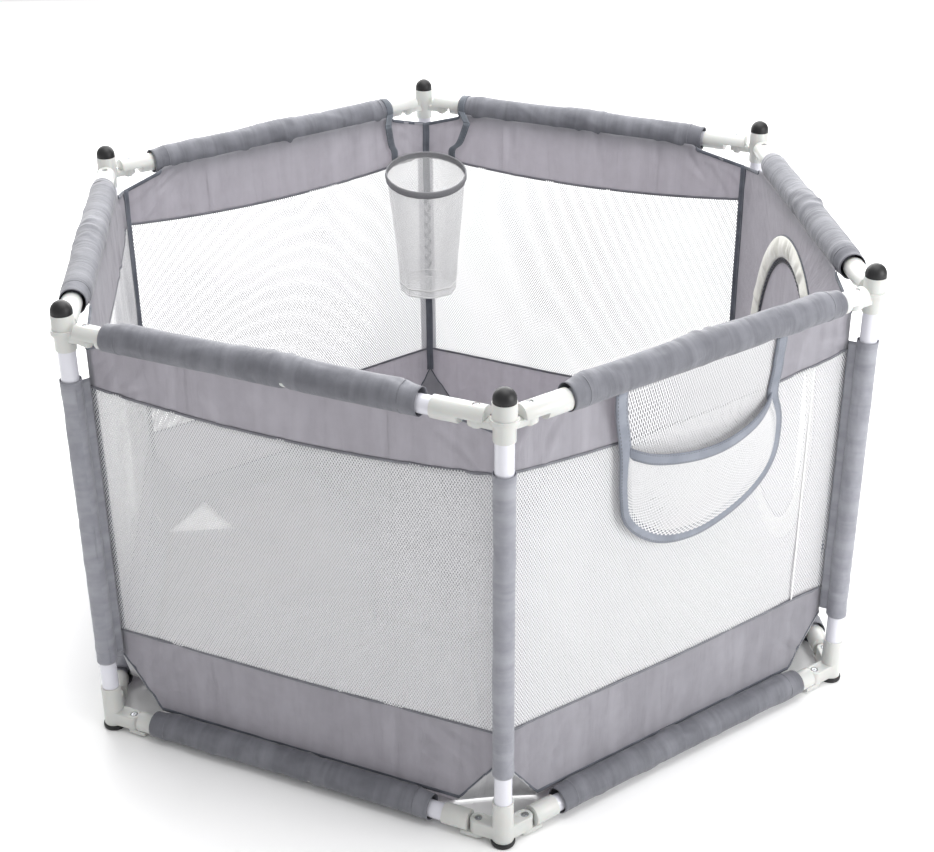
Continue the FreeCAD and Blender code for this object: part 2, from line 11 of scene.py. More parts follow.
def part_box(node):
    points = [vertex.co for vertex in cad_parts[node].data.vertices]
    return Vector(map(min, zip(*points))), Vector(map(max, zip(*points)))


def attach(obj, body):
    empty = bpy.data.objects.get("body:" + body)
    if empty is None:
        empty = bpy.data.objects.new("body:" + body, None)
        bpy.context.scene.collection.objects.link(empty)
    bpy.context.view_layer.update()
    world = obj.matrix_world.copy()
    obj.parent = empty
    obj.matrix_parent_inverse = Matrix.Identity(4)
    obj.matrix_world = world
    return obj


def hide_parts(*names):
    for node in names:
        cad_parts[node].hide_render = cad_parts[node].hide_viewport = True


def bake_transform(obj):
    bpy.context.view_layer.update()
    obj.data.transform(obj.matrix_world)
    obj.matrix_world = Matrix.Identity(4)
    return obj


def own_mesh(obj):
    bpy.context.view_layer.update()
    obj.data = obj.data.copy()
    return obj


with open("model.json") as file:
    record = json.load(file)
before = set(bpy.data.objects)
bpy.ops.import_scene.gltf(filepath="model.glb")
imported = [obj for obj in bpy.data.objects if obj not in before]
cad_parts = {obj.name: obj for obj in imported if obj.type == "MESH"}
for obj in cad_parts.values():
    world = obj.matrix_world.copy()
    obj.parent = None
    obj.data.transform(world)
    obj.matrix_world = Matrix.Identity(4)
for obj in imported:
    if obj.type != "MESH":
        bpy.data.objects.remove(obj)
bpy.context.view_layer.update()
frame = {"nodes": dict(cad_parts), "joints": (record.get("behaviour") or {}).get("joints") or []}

# The looks of a folding six-sided playpen. Pieces are modelled in millimetres in the frame of
# their side or post and then put in place. In a side's frame X runs along the side, Y inwards
# and Z up, with the origin on the floor at mid side. In a post's frame X is the anticlockwise
# tangent and Y points inwards. Posts and sides count anticlockwise, and post 1 stands in front.

# ---- sizes that the frame gives ----------------------------------------------------------
MM = 0.001
SIDES = 6
TURN = 360.0 / SIDES
HALF_TURN = TURN / 2
COS_HALF = math.cos(math.radians(HALF_TURN))
SIN_HALF = math.sin(math.radians(HALF_TURN))
TAN_HALF = math.tan(math.radians(HALF_TURN))

tube_low, tube_high = (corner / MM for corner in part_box("post_1_tube"))
rail_low, rail_high = (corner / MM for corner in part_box("side_1a_rails"))
door_low, door_high = (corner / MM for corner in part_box("door_panel"))
ring_low, ring_high = (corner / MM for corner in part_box("ball_hoop_ring"))
net_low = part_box("ball_hoop_net")[0] / MM
sleeve_low, sleeve_high = (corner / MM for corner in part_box("post_1_sleeve"))

TUBE_R = (tube_high.x - tube_low.x) / 2
CORNER_R = -(tube_low.y + tube_high.y) / 2
SIDE_HALF = CORNER_R * SIN_HALF
APOTHEM = CORNER_R * COS_HALF
TOP_RAIL_Z = rail_high.z - TUBE_R
LOW_RAIL_Z = rail_low.z + TUBE_R
WALL_Y = APOTHEM - (door_low.x + door_high.x) / 2
WALL_HALF = SIDE_HALF - WALL_Y * TAN_HALF - 0.6

# ---- sizes of the sewn pieces ------------------------------------------------------------
CLOTH = 1.0
# ends of the rail covers from the post axis, at a side's -X and +X end
TOP_COVER_ENDS = {1: (96, 70), 2: (92, 98), 3: (98, 78), 4: (82, 80), 5: (92, 92), 6: (66, 112)}
LOW_COVER_ENDS = {1: (96, 76), 2: (90, 90), 3: (90, 90), 4: (90, 90), 5: (90, 90), 6: (74, 108)}
COVER_SNUG_R = 18.6                   # the covers narrow to this at their ends
COVER_Y = 4.0
HEM = 24.0                            # depth of the hem at a cover's end
HEM_STITCH = 1.4
TOP_COVER_Z = TOP_RAIL_Z + 3.0
TOP_COVER_R = 21.6
LOW_COVER_Z = LOW_RAIL_Z + 2.0
LOW_COVER_R = 20.6
BAND_TOP = TOP_RAIL_Z - 5.0
BAND_TOP_FREE = TOP_RAIL_Z - 13.0     # top edge just beyond the ends of the cover
BAND_TOP_CORNER = TOP_RAIL_Z - 32.0   # and at the corners
BAND_EDGE_END = 566.0                 # lower edge of the upper band, at the corners
BAND_SAG = 18.0
LOW_BAND_TOP = 164.0
LOW_BAND_FOOT = 38.0
CUT_W = 60.0                          # the wall's lower corners are cut off
CUT_H = 80.0
POCKET_SIDE = 1
NET_SEAM_X = 240.0
ZONE = 150.0                          # a wall is cut here into zones


# ---- frames and placing ------------------------------------------------------------------
def turned_frame(angle, reach):
    out = Vector((math.cos(angle), math.sin(angle), 0)) * reach * MM
    turn = Matrix.Rotation(angle + math.pi / 2, 4, "Z")
    return Matrix.Translation(out) @ turn @ Matrix.Scale(MM, 4)


def side_frame(side):
    return turned_frame(math.radians(-90 + HALF_TURN + TURN * (side - 1)), APOTHEM)


def post_frame(post):
    return turned_frame(math.radians(-90 + TURN * (post - 1)), CORNER_R)


def next_post(side):
    return side % SIDES + 1


# ---- materials ---------------------------------------------------------------------------
def colour(code):
    """An sRGB hex value as linear RGBA."""
    parts = [int(code[i:i + 2], 16) / 255 for i in (1, 3, 5)]
    return [c / 12.92 if c <= 0.04045 else ((c + 0.055) / 1.055) ** 2.4 for c in parts] + [1.0]


def add(tree, kind, inputs=(), **settings):
    """Adds a node, with its settings and what goes into its sockets, and gives it back."""
    made = tree.nodes.new("ShaderNode" + kind)
    for name, value in settings.items():
        setattr(made, name, value)
    for key, value in dict(inputs).items():
        if isinstance(value, bpy.types.NodeSocket):
            tree.links.new(value, made.inputs[key])
        else:
            made.inputs[key].default_value = value
    return made


def blank(name):
    made = bpy.data.materials.new(name)
    made.use_nodes = True
    made.node_tree.nodes.clear()
    return made, made.node_tree


def finish_material(made, surface):
    add(made.node_tree, "OutputMaterial", {"Surface": surface})
    return made


def ripple(tree, axis, period):
    """Sine of a UV axis with a period in millimetres, from -1 to 1."""
    turns = add(tree, "Math", {0: axis, 1: 2 * math.pi / (period * MM)}, operation="MULTIPLY")
    return add(tree, "Math", {0: turns.outputs[0]}, operation="SINE").outputs[0]


def mixed_colour(tree, share, first, second):
    made = add(tree, "Mix", {"Factor": share}, data_type="RGBA")
    for socket, value in ((made.inputs[6], first), (made.inputs[7], second)):
        if isinstance(value, bpy.types.NodeSocket):
            tree.links.new(value, socket)
        else:
            socket.default_value = value
    return made.outputs[2]


def oxford_cloth(name, light, dark, crease_highlight_colour, through, backlit):
    """Oxford polyester, plain woven from shiny yarn and coated on one side.

    It gives a fine thread grain, a faint sheen, uneven soft shading, a painted highlight along the pull
    creases, and lets light through.
    The threads are 0.3 mm and are drawn at 1.1 mm, so that the grain shows.
    """
    made, tree = blank(name)
    place = add(tree, "TexCoord")
    split = add(tree, "SeparateXYZ", {0: place.outputs["UV"]})
    warp = ripple(tree, split.outputs[0], 1.1)
    weft = ripple(tree, split.outputs[1], 1.1)
    weave = add(tree, "Math", {0: warp, 1: weft}, operation="MULTIPLY").outputs[0]
    blotch = add(tree, "TexNoise", {"Vector": place.outputs["Object"], "Scale": 7.0, "Detail": 5.0,
                                    "Roughness": 0.6})
    slub = add(tree, "TexNoise", {"Vector": place.outputs["Object"], "Scale": 60.0, "Detail": 4.0})
    tone = add(tree, "Math", {0: blotch.outputs["Fac"], 1: slub.outputs["Fac"]}, operation="MULTIPLY")
    share = add(tree, "MapRange", {0: tone.outputs[0], 1: 0.12, 2: 0.40})
    plain = mixed_colour(tree, share.outputs[0], colour(dark), colour(light))
    # pull creases run across the cut's width, 15 to 40 mm apart; they are bumped, and the cloth is painted
    # paler along them as a painted highlight
    spread = add(tree, "CombineXYZ", {0: split.outputs[0], 1: add(
        tree, "Math", {0: split.outputs[1], 1: 0.12}, operation="MULTIPLY").outputs[0]})
    crease = add(tree, "TexNoise", {"Vector": spread.outputs[0], "Scale": 42.0, "Detail": 3.0,
                                    "Roughness": 0.55, "Distortion": 0.5})
    # painted highlight: the crease noise mixes the colour towards the pale crease colour
    painted_crease_light = add(tree, "MapRange", {0: crease.outputs["Fac"], 1: 0.46, 2: 0.72, 3: 0.0, 4: 0.55})
    base = mixed_colour(tree, painted_crease_light.outputs[0], plain, colour(crease_highlight_colour))
    grain = add(tree, "Bump", {"Height": weave, "Strength": 0.25, "Distance": 0.15 * MM})
    crumple = add(tree, "TexNoise", {"Vector": place.outputs["Object"], "Scale": 26.0, "Detail": 6.0,
                                     "Roughness": 0.55, "Distortion": 0.6})
    creased = add(tree, "Bump", {"Height": crease.outputs["Fac"], "Strength": 0.45,
                                 "Distance": 7.0 * MM, "Normal": grain.outputs[0]})
    bump = add(tree, "Bump", {"Height": crumple.outputs["Fac"], "Strength": 0.35,
                              "Distance": 4.0 * MM, "Normal": creased.outputs[0]})
    rough = add(tree, "MapRange", {0: blotch.outputs["Fac"], 3: 0.52, 4: 0.68})
    face = add(tree, "BsdfPrincipled", {
        "Base Color": base, "Roughness": rough.outputs[0], "Normal": bump.outputs[0],
        "Sheen Weight": 0.25, "Sheen Roughness": 0.4, "Specular IOR Level": 0.35,
    })
    back = add(tree, "BsdfTranslucent", {"Color": colour(backlit), "Normal": bump.outputs[0]})
    both = add(tree, "MixShader", {0: through, 1: face.outputs[0], 2: back.outputs[0]})
    return finish_material(made, both.outputs[0])


def polyester_net(name, pitch, thread_share, code):
    """Knitted polyester net with diamond holes, white and a little shiny.

    The yarn is bright and the holes show what is behind. The holes are 2 to 3 mm on the real
    net and are drawn at the given pitch.
    """
    made, tree = blank(name)
    place = add(tree, "TexCoord")
    split = add(tree, "SeparateXYZ", {0: place.outputs["UV"]})
    lean = add(tree, "Math", {0: split.outputs[1], 1: 0.62}, operation="MULTIPLY").outputs[0]
    rising = add(tree, "Math", {0: split.outputs[0], 1: lean}, operation="ADD").outputs[0]
    falling = add(tree, "Math", {0: split.outputs[0], 1: lean}, operation="SUBTRACT").outputs[0]
    first, second = ripple(tree, rising, 2 * pitch), ripple(tree, falling, 2 * pitch)
    cell = add(tree, "Math", {0: first, 1: second}, operation="MULTIPLY").outputs[0]
    depth = add(tree, "Math", {0: cell}, operation="ABSOLUTE").outputs[0]
    solid = add(tree, "MapRange", {0: depth, 1: thread_share + 0.12, 2: thread_share - 0.12})
    height = add(tree, "Bump", {"Height": solid.outputs[0], "Strength": 0.5, "Distance": 0.4 * MM})
    yarn = add(tree, "TexNoise", {"Vector": place.outputs["Object"], "Scale": 900.0, "Detail": 2.0})
    base = mixed_colour(tree, yarn.outputs["Fac"], colour(code), colour("#F2F2F3"))
    face = add(tree, "BsdfPrincipled", {
        "Base Color": base, "Roughness": 0.5, "Normal": height.outputs[0],
        "Alpha": solid.outputs[0], "Specular IOR Level": 0.4,
    })
    return finish_material(made, face.outputs[0])


def ribbed_tape(name, light, dark, rib, stitched):
    """Polyester grosgrain tape: raised ribs across it and a row of stitches along each edge."""
    made, tree = blank(name)
    place = add(tree, "TexCoord")
    split = add(tree, "SeparateXYZ", {0: place.outputs["UV"]})
    ribs = ripple(tree, split.outputs[0], rib)
    wear = add(tree, "TexNoise", {"Vector": place.outputs["Object"], "Scale": 40.0, "Detail": 4.0})
    share = add(tree, "MapRange", {0: wear.outputs["Fac"], 1: 0.35, 2: 0.7})
    base = mixed_colour(tree, share.outputs[0], colour(dark), colour(light))
    if stitched:
        dash = ripple(tree, split.outputs[0], 4.0)
        on = add(tree, "Math", {0: dash, 1: -0.2}, operation="GREATER_THAN").outputs[0]
        off_mid = add(tree, "Math", {0: split.outputs[1], 1: 0.5}, operation="SUBTRACT").outputs[0]
        far = add(tree, "Math", {0: off_mid}, operation="ABSOLUTE").outputs[0]
        near_edge = add(tree, "Math", {0: far, 1: 0.36, 2: 0.035}, operation="COMPARE").outputs[0]
        thread = add(tree, "Math", {0: on, 1: near_edge}, operation="MULTIPLY").outputs[0]
        base = mixed_colour(tree, thread, base, colour(stitched))
    bump = add(tree, "Bump", {"Height": ribs, "Strength": 0.4, "Distance": 0.2 * MM})
    face = add(tree, "BsdfPrincipled", {
        "Base Color": base, "Roughness": 0.62, "Normal": bump.outputs[0], "Sheen Weight": 0.2,
    })
    return finish_material(made, face.outputs[0])


def gathered_facing(name):
    """Soft cream brushed polyester, ruched on the zip's facing."""
    made, tree = blank(name)
    place = add(tree, "TexCoord")
    nap = add(tree, "TexNoise", {"Vector": place.outputs["Object"], "Scale": 300.0, "Detail": 5.0})
    base = mixed_colour(tree, nap.outputs["Fac"], colour("#D9D8CE"), colour("#F0EFE8"))
    bump = add(tree, "Bump", {"Height": nap.outputs["Fac"], "Strength": 0.4, "Distance": 0.5 * MM})
    face = add(tree, "BsdfPrincipled", {
        "Base Color": base, "Roughness": 0.85, "Normal": bump.outputs[0], "Sheen Weight": 0.5,
    })
    return finish_material(made, face.outputs[0])


def painted_steel(name):
    """Steel tube with a white powder coat: bright gloss over a faint orange peel."""
    made, tree = blank(name)
    place = add(tree, "TexCoord")
    peel = add(tree, "TexNoise", {"Vector": place.outputs["Object"], "Scale": 420.0, "Detail": 2.0})
    dust = add(tree, "TexNoise", {"Vector": place.outputs["Object"], "Scale": 12.0, "Detail": 4.0})
    base = mixed_colour(tree, dust.outputs["Fac"], colour("#D6D6DE"), colour("#E2E2EA"))
    bump = add(tree, "Bump", {"Height": peel.outputs["Fac"], "Strength": 0.12, "Distance": 0.2 * MM})
    rough = add(tree, "MapRange", {0: dust.outputs["Fac"], 3: 0.16, 4: 0.28})
    face = add(tree, "BsdfPrincipled", {
        "Base Color": base, "Roughness": rough.outputs[0], "Normal": bump.outputs[0],
        "Coat Weight": 0.4, "Coat Roughness": 0.08,
    })
    return finish_material(made, face.outputs[0])


def moulded_polypropylene(name, light, dark):
    """Injection-moulded polypropylene: warm white, satin, with a fine spark-eroded grain."""
    made, tree = blank(name)
    place = add(tree, "TexCoord")
    grain = add(tree, "TexNoise", {"Vector": place.outputs["Object"], "Scale": 700.0, "Detail": 3.0})
    flow = add(tree, "TexNoise", {"Vector": place.outputs["Object"], "Scale": 22.0, "Detail": 3.0})
    base = mixed_colour(tree, flow.outputs["Fac"], colour(dark), colour(light))
    bump = add(tree, "Bump", {"Height": grain.outputs["Fac"], "Strength": 0.18, "Distance": 0.25 * MM})
    rough = add(tree, "MapRange", {0: flow.outputs["Fac"], 3: 0.30, 4: 0.42})
    face = add(tree, "BsdfPrincipled", {
        "Base Color": base, "Roughness": rough.outputs[0], "Normal": bump.outputs[0],
        "Subsurface Weight": 0.12, "Subsurface Scale": 1.5 * MM,
    })
    return finish_material(made, face.outputs[0])


def black_rubber(name):
    """Moulded rubber: near black, semi-matt, with a faint dusty bloom."""
    made, tree = blank(name)
    place = add(tree, "TexCoord")
    bloom = add(tree, "TexNoise", {"Vector": place.outputs["Object"], "Scale": 90.0, "Detail": 6.0})
    base = mixed_colour(tree, bloom.outputs["Fac"], colour("#08080A"), colour("#151517"))
    rough = add(tree, "MapRange", {0: bloom.outputs["Fac"], 3: 0.38, 4: 0.60})
    bump = add(tree, "Bump", {"Height": bloom.outputs["Fac"], "Strength": 0.1, "Distance": 0.3 * MM})
    face = add(tree, "BsdfPrincipled", {
        "Base Color": base, "Roughness": rough.outputs[0], "Normal": bump.outputs[0],
    })
    return finish_material(made, face.outputs[0])


def zinc_screw(name):
    """Zinc-plated steel screw: grey metal with a brushed, slightly cloudy face."""
    made, tree = blank(name)
    place = add(tree, "TexCoord")
    cloud = add(tree, "TexNoise", {"Vector": place.outputs["Object"], "Scale": 600.0, "Detail": 3.0})
    base = mixed_colour(tree, cloud.outputs["Fac"], colour("#8C8E92"), colour("#C3C5C9"))
    rough = add(tree, "MapRange", {0: cloud.outputs["Fac"], 3: 0.28, 4: 0.5})
    face = add(tree, "BsdfPrincipled", {
        "Base Color": base, "Metallic": 1.0, "Roughness": rough.outputs[0],
    })
    return finish_material(made, face.outputs[0])


def perforated_band(name):
    """Grey mesh tape with small round holes, as sewn over the hoop's wire."""
    made, tree = blank(name)
    place = add(tree, "TexCoord")
    split = add(tree, "SeparateXYZ", {0: place.outputs["UV"]})
    rising = add(tree, "Math", {0: split.outputs[0], 1: split.outputs[1]}, operation="ADD").outputs[0]
    falling = add(tree, "Math", {0: split.outputs[0], 1: split.outputs[1]}, operation="SUBTRACT").outputs[0]
    cell = add(tree, "Math", {0: ripple(tree, rising, 5.0), 1: ripple(tree, falling, 5.0)},
               operation="MULTIPLY").outputs[0]
    depth = add(tree, "Math", {0: cell}, operation="ABSOLUTE").outputs[0]
    hole = add(tree, "MapRange", {0: depth, 1: 0.35, 2: 0.75})
    # painted shade: the holes are coloured darker than the tape
    base = mixed_colour(tree, hole.outputs[0], colour("#8F8F92"), colour("#5E5E62"))
    bump = add(tree, "Bump", {"Height": hole.outputs[0], "Strength": 0.6, "Distance": 0.5 * MM},
               invert=True)
    face = add(tree, "BsdfPrincipled", {"Base Color": base, "Roughness": 0.6, "Normal": bump.outputs[0]})
    return finish_material(made, face.outputs[0])


def paper_floor(name):
    """A studio's seamless paper."""
    made, tree = blank(name)
    place = add(tree, "TexCoord")
    fibre = add(tree, "TexNoise", {"Vector": place.outputs["Object"], "Scale": 3.0, "Detail": 2.0})
    base = mixed_colour(tree, fibre.outputs["Fac"], colour("#F8F8F8"), colour("#FCFCFC"))
    face = add(tree, "BsdfPrincipled", {"Base Color": base, "Roughness": 0.9, "Specular IOR Level": 0.1})
    return finish_material(made, face.outputs[0])


# the third colour of each oxford cloth is the painted highlight on its creases
OXFORD = oxford_cloth("oxford_polyester_grey", "#ACACB2", "#99999F", "#BDBDC3", 0.48, "#CFCBD0")
COVER_CLOTH = oxford_cloth("oxford_polyester_cover", "#74757C", "#64656C", "#8A8B92", 0.06, "#A9A6B0")
SLEEVE_CLOTH = oxford_cloth("oxford_polyester_sleeve", "#9A9BA3", "#898A92", "#ACADB4", 0.06, "#A9A6B0")
COATED_CLOTH = oxford_cloth("oxford_polyester_coated_side", "#DCDCDE", "#C9C9CC", "#E6E6E8", 0.30,
                            "#D8D8DA")
WALL_NET = polyester_net("knitted_polyester_net", 4.2, 0.44, "#D2D2D4")
FINE_NET = polyester_net("fine_polyester_net", 2.2, 0.20, "#F4F4F4")
BINDING = ribbed_tape("grosgrain_binding_slate", "#676B75", "#50545D", 1.2, None)
POCKET_BINDING = ribbed_tape("grosgrain_binding_blue_grey", "#858A95", "#737883", 1.2, "#5F636C")
WEBBING = ribbed_tape("woven_webbing_slate", "#626871", "#4B5058", 1.6, "#7B818B")
PIPING = ribbed_tape("seam_piping_grey", "#77787F", "#66676E", 1.2, None)
FACING = gathered_facing("brushed_polyester_cream")
STEEL = painted_steel("powder_coated_steel_white")
PLASTIC = moulded_polypropylene("moulded_polypropylene_white", "#D0D1CE", "#C2C3C0")
RUBBER = black_rubber("moulded_rubber_black")
SCREW = zinc_screw("zinc_plated_steel")
ZIP = moulded_polypropylene("moulded_nylon_zip_grey", "#4A4C52", "#3A3C42")
HOOP_TAPE = perforated_band("perforated_mesh_tape_grey")
WHITE_THREAD = ribbed_tape("twisted_polyester_thread", "#F2F2F2", "#E4E4E4", 1.4, None)


# ---- modelling helpers -------------------------------------------------------------------
def only(piece):
    bpy.ops.object.select_all(action="DESELECT")
    piece.select_set(True)
    bpy.context.view_layer.objects.active = piece


def named(piece, name, material):
    piece.name = name
    piece.data.name = name
    piece.data.materials.clear()
    piece.data.materials.append(material)
    return piece


def modify(piece, kind, **settings):
    """Adds a modifier with its settings and applies it."""
    only(piece)
    made = piece.modifiers.new(kind.lower(), kind)
    for name, value in settings.items():
        setattr(made, name, value)
    bpy.ops.object.modifier_apply(modifier=made.name)


def smooth(piece, angle=40.0):
    only(piece)
    bpy.ops.object.shade_smooth_by_angle(angle=math.radians(angle))


def corners_of(mesh):
    co = np.empty(len(mesh.vertices) * 3)
    mesh.vertices.foreach_get("co", co)
    return co.reshape(-1, 3)


def cloth(name, material, cells, place, size, thick=CLOTH, round_seam=False):
    """A cut of cloth. place(u, v) says where each corner of the cells goes, u and v from 0 to 1.

    size is the cut's (width, height), which its UV map keeps: in metres, or 1 for a share.
    """
    bpy.ops.object.select_all(action="DESELECT")
    bpy.ops.mesh.primitive_grid_add(x_subdivisions=cells[0], y_subdivisions=cells[1], size=1)
    piece = named(bpy.context.object, name, material)
    mesh = piece.data
    co = corners_of(mesh)
    u, v = co[:, 0] + 0.5, co[:, 1] + 0.5
    mesh.vertices.foreach_set("co", np.stack(place(u, v), axis=1).ravel())
    layer = mesh.uv_layers.active.data
    uv = np.empty(len(layer) * 2)
    layer.foreach_get("uv", uv)
    layer.foreach_set("uv", (uv.reshape(-1, 2) * np.array(size)).ravel())
    mesh.update()
    if round_seam:
        only(piece)
        bpy.ops.object.mode_set(mode="EDIT")
        bpy.ops.mesh.select_all(action="SELECT")
        bpy.ops.mesh.remove_doubles(threshold=0.05)
        bpy.ops.mesh.normals_make_consistent(inside=False)
        bpy.ops.object.mode_set(mode="OBJECT")
    if thick:
        modify(piece, "SOLIDIFY", thickness=thick, offset=0.0, use_even_offset=False)
    only(piece)
    bpy.ops.object.shade_smooth()
    return piece


def settle(piece, matrix):
    """Puts a finished piece in place, with its place in its mesh."""
    piece.data.transform(matrix)
    piece.data.update()
    return piece


def put(piece, place, body):
    """Settles a piece that rides on one body."""
    settle(piece, place)
    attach(piece, body)


def joined(pieces, name):
    bpy.ops.object.select_all(action="DESELECT")
    for piece in pieces:
        piece.select_set(True)
    bpy.context.view_layer.objects.active = pieces[0]
    if len(pieces) > 1:
        bpy.ops.object.join()
    pieces[0].name = name
    pieces[0].data.name = name
    return pieces[0]


def copied(piece, name):
    made = piece.copy()
    made.data = piece.data.copy()
    bpy.context.scene.collection.objects.link(made)
    made.name = name
    made.data.name = name
    return made


def step(x):
    """Smooth step from 0 to 1."""
    x = np.clip(x, 0.0, 1.0)
    return x * x * (3 - 2 * x)


def folds(seed, count, x_range, z_range, angles, lengths, widths, heights):
    """Random soft folds: (x, z, angle, length, width, height) each."""
    rng = random.Random(seed)
    return [
        (rng.uniform(*x_range), rng.uniform(*z_range), math.radians(rng.uniform(*angles)),
         rng.uniform(*lengths), rng.uniform(*widths), rng.uniform(*heights) * rng.choice((-1, 1)))
        for _ in range(count)
    ]


def fold_height(made, x, z):
    """How far the folds push the cloth out at x, z."""
    total = np.zeros_like(x)
    for x0, z0, angle, length, width, height in made:
        along = ((x - x0) * math.cos(angle) + (z - z0) * math.sin(angle)) / length
        across = (-(x - x0) * math.sin(angle) + (z - z0) * math.cos(angle)) / width
        wide = across * across / (1.0 + 0.6 * np.clip(along + 1, 0, 2))
        total += height * np.exp(-along * along * 2.2) * (1 - 0.7 * wide) * np.exp(-wide)
    return total


def curve_through(points, t):
    """Smooth curve through given points, at shares t of its way."""
    p = np.array(points, float)
    spans = len(p) - 1
    ends = np.vstack([2 * p[0] - p[1], p, 2 * p[-1] - p[-2]])
    at = np.clip(np.asarray(t) * spans, 0, spans - 1e-9)
    i = at.astype(int)
    f = (at - i)[:, None]
    a, b, c, d = ends[i], ends[i + 1], ends[i + 2], ends[i + 3]
    square, cube = 2 * a - 5 * b + 4 * c - d, 3 * b - a - 3 * c + d
    return 0.5 * (2 * b + (c - a) * f + square * f ** 2 + cube * f ** 3)


def ribbon(name, material, points, across, width, thick, cells=None, crown=0.0):
    """A strip of tape along a smooth curve through points.

    across(t) gives its side-to-side direction, and crown lifts its middle off its edges.
    """
    runs = np.diff(curve_through(points, np.linspace(0, 1, 200)), axis=0)
    length = float(np.sum(np.linalg.norm(runs, axis=1)))
    cells = cells or max(2, int(length / 4))

    def place(u, v):
        middle = curve_through(points, u)
        before, after = np.clip(u - 0.002, 0, 1), np.clip(u + 0.002, 0, 1)
        ahead = curve_through(points, after) - curve_through(points, before)
        side = across(u)
        side = side / np.linalg.norm(side, axis=1)[:, None]
        up = np.cross(ahead, side)
        up = up / np.maximum(np.linalg.norm(up, axis=1)[:, None], 1e-9)
        lift = crown * (1 - (2 * v - 1) ** 2)
        spot = middle + side * ((v - 0.5) * width)[:, None] + up * lift[:, None]
        return spot[:, 0], spot[:, 1], spot[:, 2]

    return cloth(name, material, (cells, 4), place, (length * MM, 1.0), thick)


def steady(x, y, z):
    """A direction that doesn't change along a ribbon."""
    return lambda u: np.tile(np.array([[x, y, z]], float), (len(u), 1))


def bend_mid(piece):
    """Bakes the piece's place into its mesh."""
    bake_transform(piece)


def bend_end(piece, side, last):
    """Side 1's first piece rides on its half side; any other piece gets its place baked into its mesh."""
    post, half = (next_post(side), f"side_{side}b") if last else (side, f"side_{side}a")
    if (side, last) == (1, False):
        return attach(piece, half)
    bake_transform(piece)


def keep_normals(piece):
    mesh = piece.data
    normals = np.empty(len(mesh.vertices) * 3)
    mesh.vertices.foreach_get("normal", normals)
    mesh.attributes.new("whole_normal", "FLOAT_VECTOR", "POINT").data.foreach_set("vector", normals)


def zones(piece, side):
    """Cuts a wall piece, still in its side's frame, into three zones, and puts each in place."""
    keep_normals(piece)
    spans = (("first", -SIDE_HALF, -ZONE), ("middle", -ZONE, ZONE), ("last", ZONE, SIDE_HALF))
    made = []
    for label, low, high in spans:
        part = copied(piece, f"{piece.name}_{label}")
        bm = bmesh.new()
        bm.from_mesh(part.data)
        for x, direction in ((low, -1), (high, 1)):
            everything = list(bm.verts) + list(bm.edges) + list(bm.faces)
            bmesh.ops.bisect_plane(bm, geom=everything, plane_co=(x, 0, 0), plane_no=(direction, 0, 0),
                                   clear_outer=True)
        bmesh.ops.holes_fill(bm, edges=[e for e in bm.edges if e.is_boundary], sides=0)
        bm.to_mesh(part.data)
        bm.free()
        mesh = part.data
        normals = np.empty(len(mesh.vertices) * 3)
        mesh.attributes["whole_normal"].data.foreach_get("vector", normals)
        mesh.normals_split_custom_set_from_vertices(normals.reshape(-1, 3).tolist())
        mesh.attributes.remove(mesh.attributes["whole_normal"])
        settle(part, side_frame(side))
        if label == "middle":
            bend_mid(part)
        else:
            bend_end(part, side, label == "last")
        made.append(part)
    bpy.data.objects.remove(piece)
    return made


# ---- hard parts ----------------------------------------------------------------------------
def merged_copy(node, name, material):
    """A copy of a CAD node's mesh, merged, with its flat faces whole again."""
    piece = bpy.data.objects.new(name, frame["nodes"][node].data.copy())
    bpy.context.scene.collection.objects.link(piece)
    named(piece, name, material)
    only(piece)
    if piece.data.has_custom_normals:
        bpy.ops.mesh.customdata_custom_splitnormals_clear()
    bpy.ops.object.mode_set(mode="EDIT")
    bpy.ops.mesh.select_all(action="SELECT")
    bpy.ops.mesh.remove_doubles(threshold=0.01 * MM)
    bpy.ops.mesh.dissolve_limited(angle_limit=math.radians(1.0))
    bpy.ops.object.mode_set(mode="OBJECT")
    return piece


def moulded(node, name, material, edge):
    """A moulding: the CAD shape with its sharp edges eased."""
    piece = merged_copy(node, name, material)
    modify(piece, "BEVEL", width=edge * MM, segments=2, limit_method="ANGLE",
           angle_limit=math.radians(48), use_clamp_overlap=True)
    smooth(piece, 38)
    return piece


def screw_head():
    """A round screw head with a cross recess, its seat at the origin, in millimetres."""
    bpy.ops.object.select_all(action="DESELECT")
    bpy.ops.mesh.primitive_cylinder_add(vertices=32, radius=4.6, depth=1.8, location=(0, 0, 0.6))
    head = named(bpy.context.object, "screw_head", SCREW)
    bpy.ops.object.transform_apply(location=True)
    bpy.ops.object.mode_set(mode="EDIT")
    bpy.ops.mesh.select_all(action="DESELECT")
    bpy.ops.object.mode_set(mode="OBJECT")
    for edge in head.data.edges:
        edge.select = all(head.data.vertices[i].co.z > 1.4 for i in edge.vertices)
    bpy.ops.object.mode_set(mode="EDIT")
    bpy.ops.mesh.bevel(offset=0.9, segments=4)
    bpy.ops.object.mode_set(mode="OBJECT")
    for angle in (0, math.pi / 2):
        bpy.ops.mesh.primitive_cube_add(size=1, location=(0, 0, 1.3))
        cutter = bpy.context.object
        cutter.scale = (4.6, 1.0, 1.2)
        cutter.rotation_euler = (0, 0, angle)
        bpy.ops.object.transform_apply(location=True, rotation=True, scale=True)
        modify(head, "BOOLEAN", operation="DIFFERENCE", object=cutter, solver="EXACT")
        bpy.data.objects.remove(cutter)
    smooth(head, 30)
    return head


PIN_REACH = 37.0          # from the post's axis to the rails' pins
TOP_HEAD_Z = TOP_RAIL_Z + 12.2
LOW_HEAD_Z = 29.2
BOOT_R = 15.2             # the rubber ring round the foot
BOOT_ROUND = 1.5
BOOT_LOW, BOOT_H = 0.6, 7.4


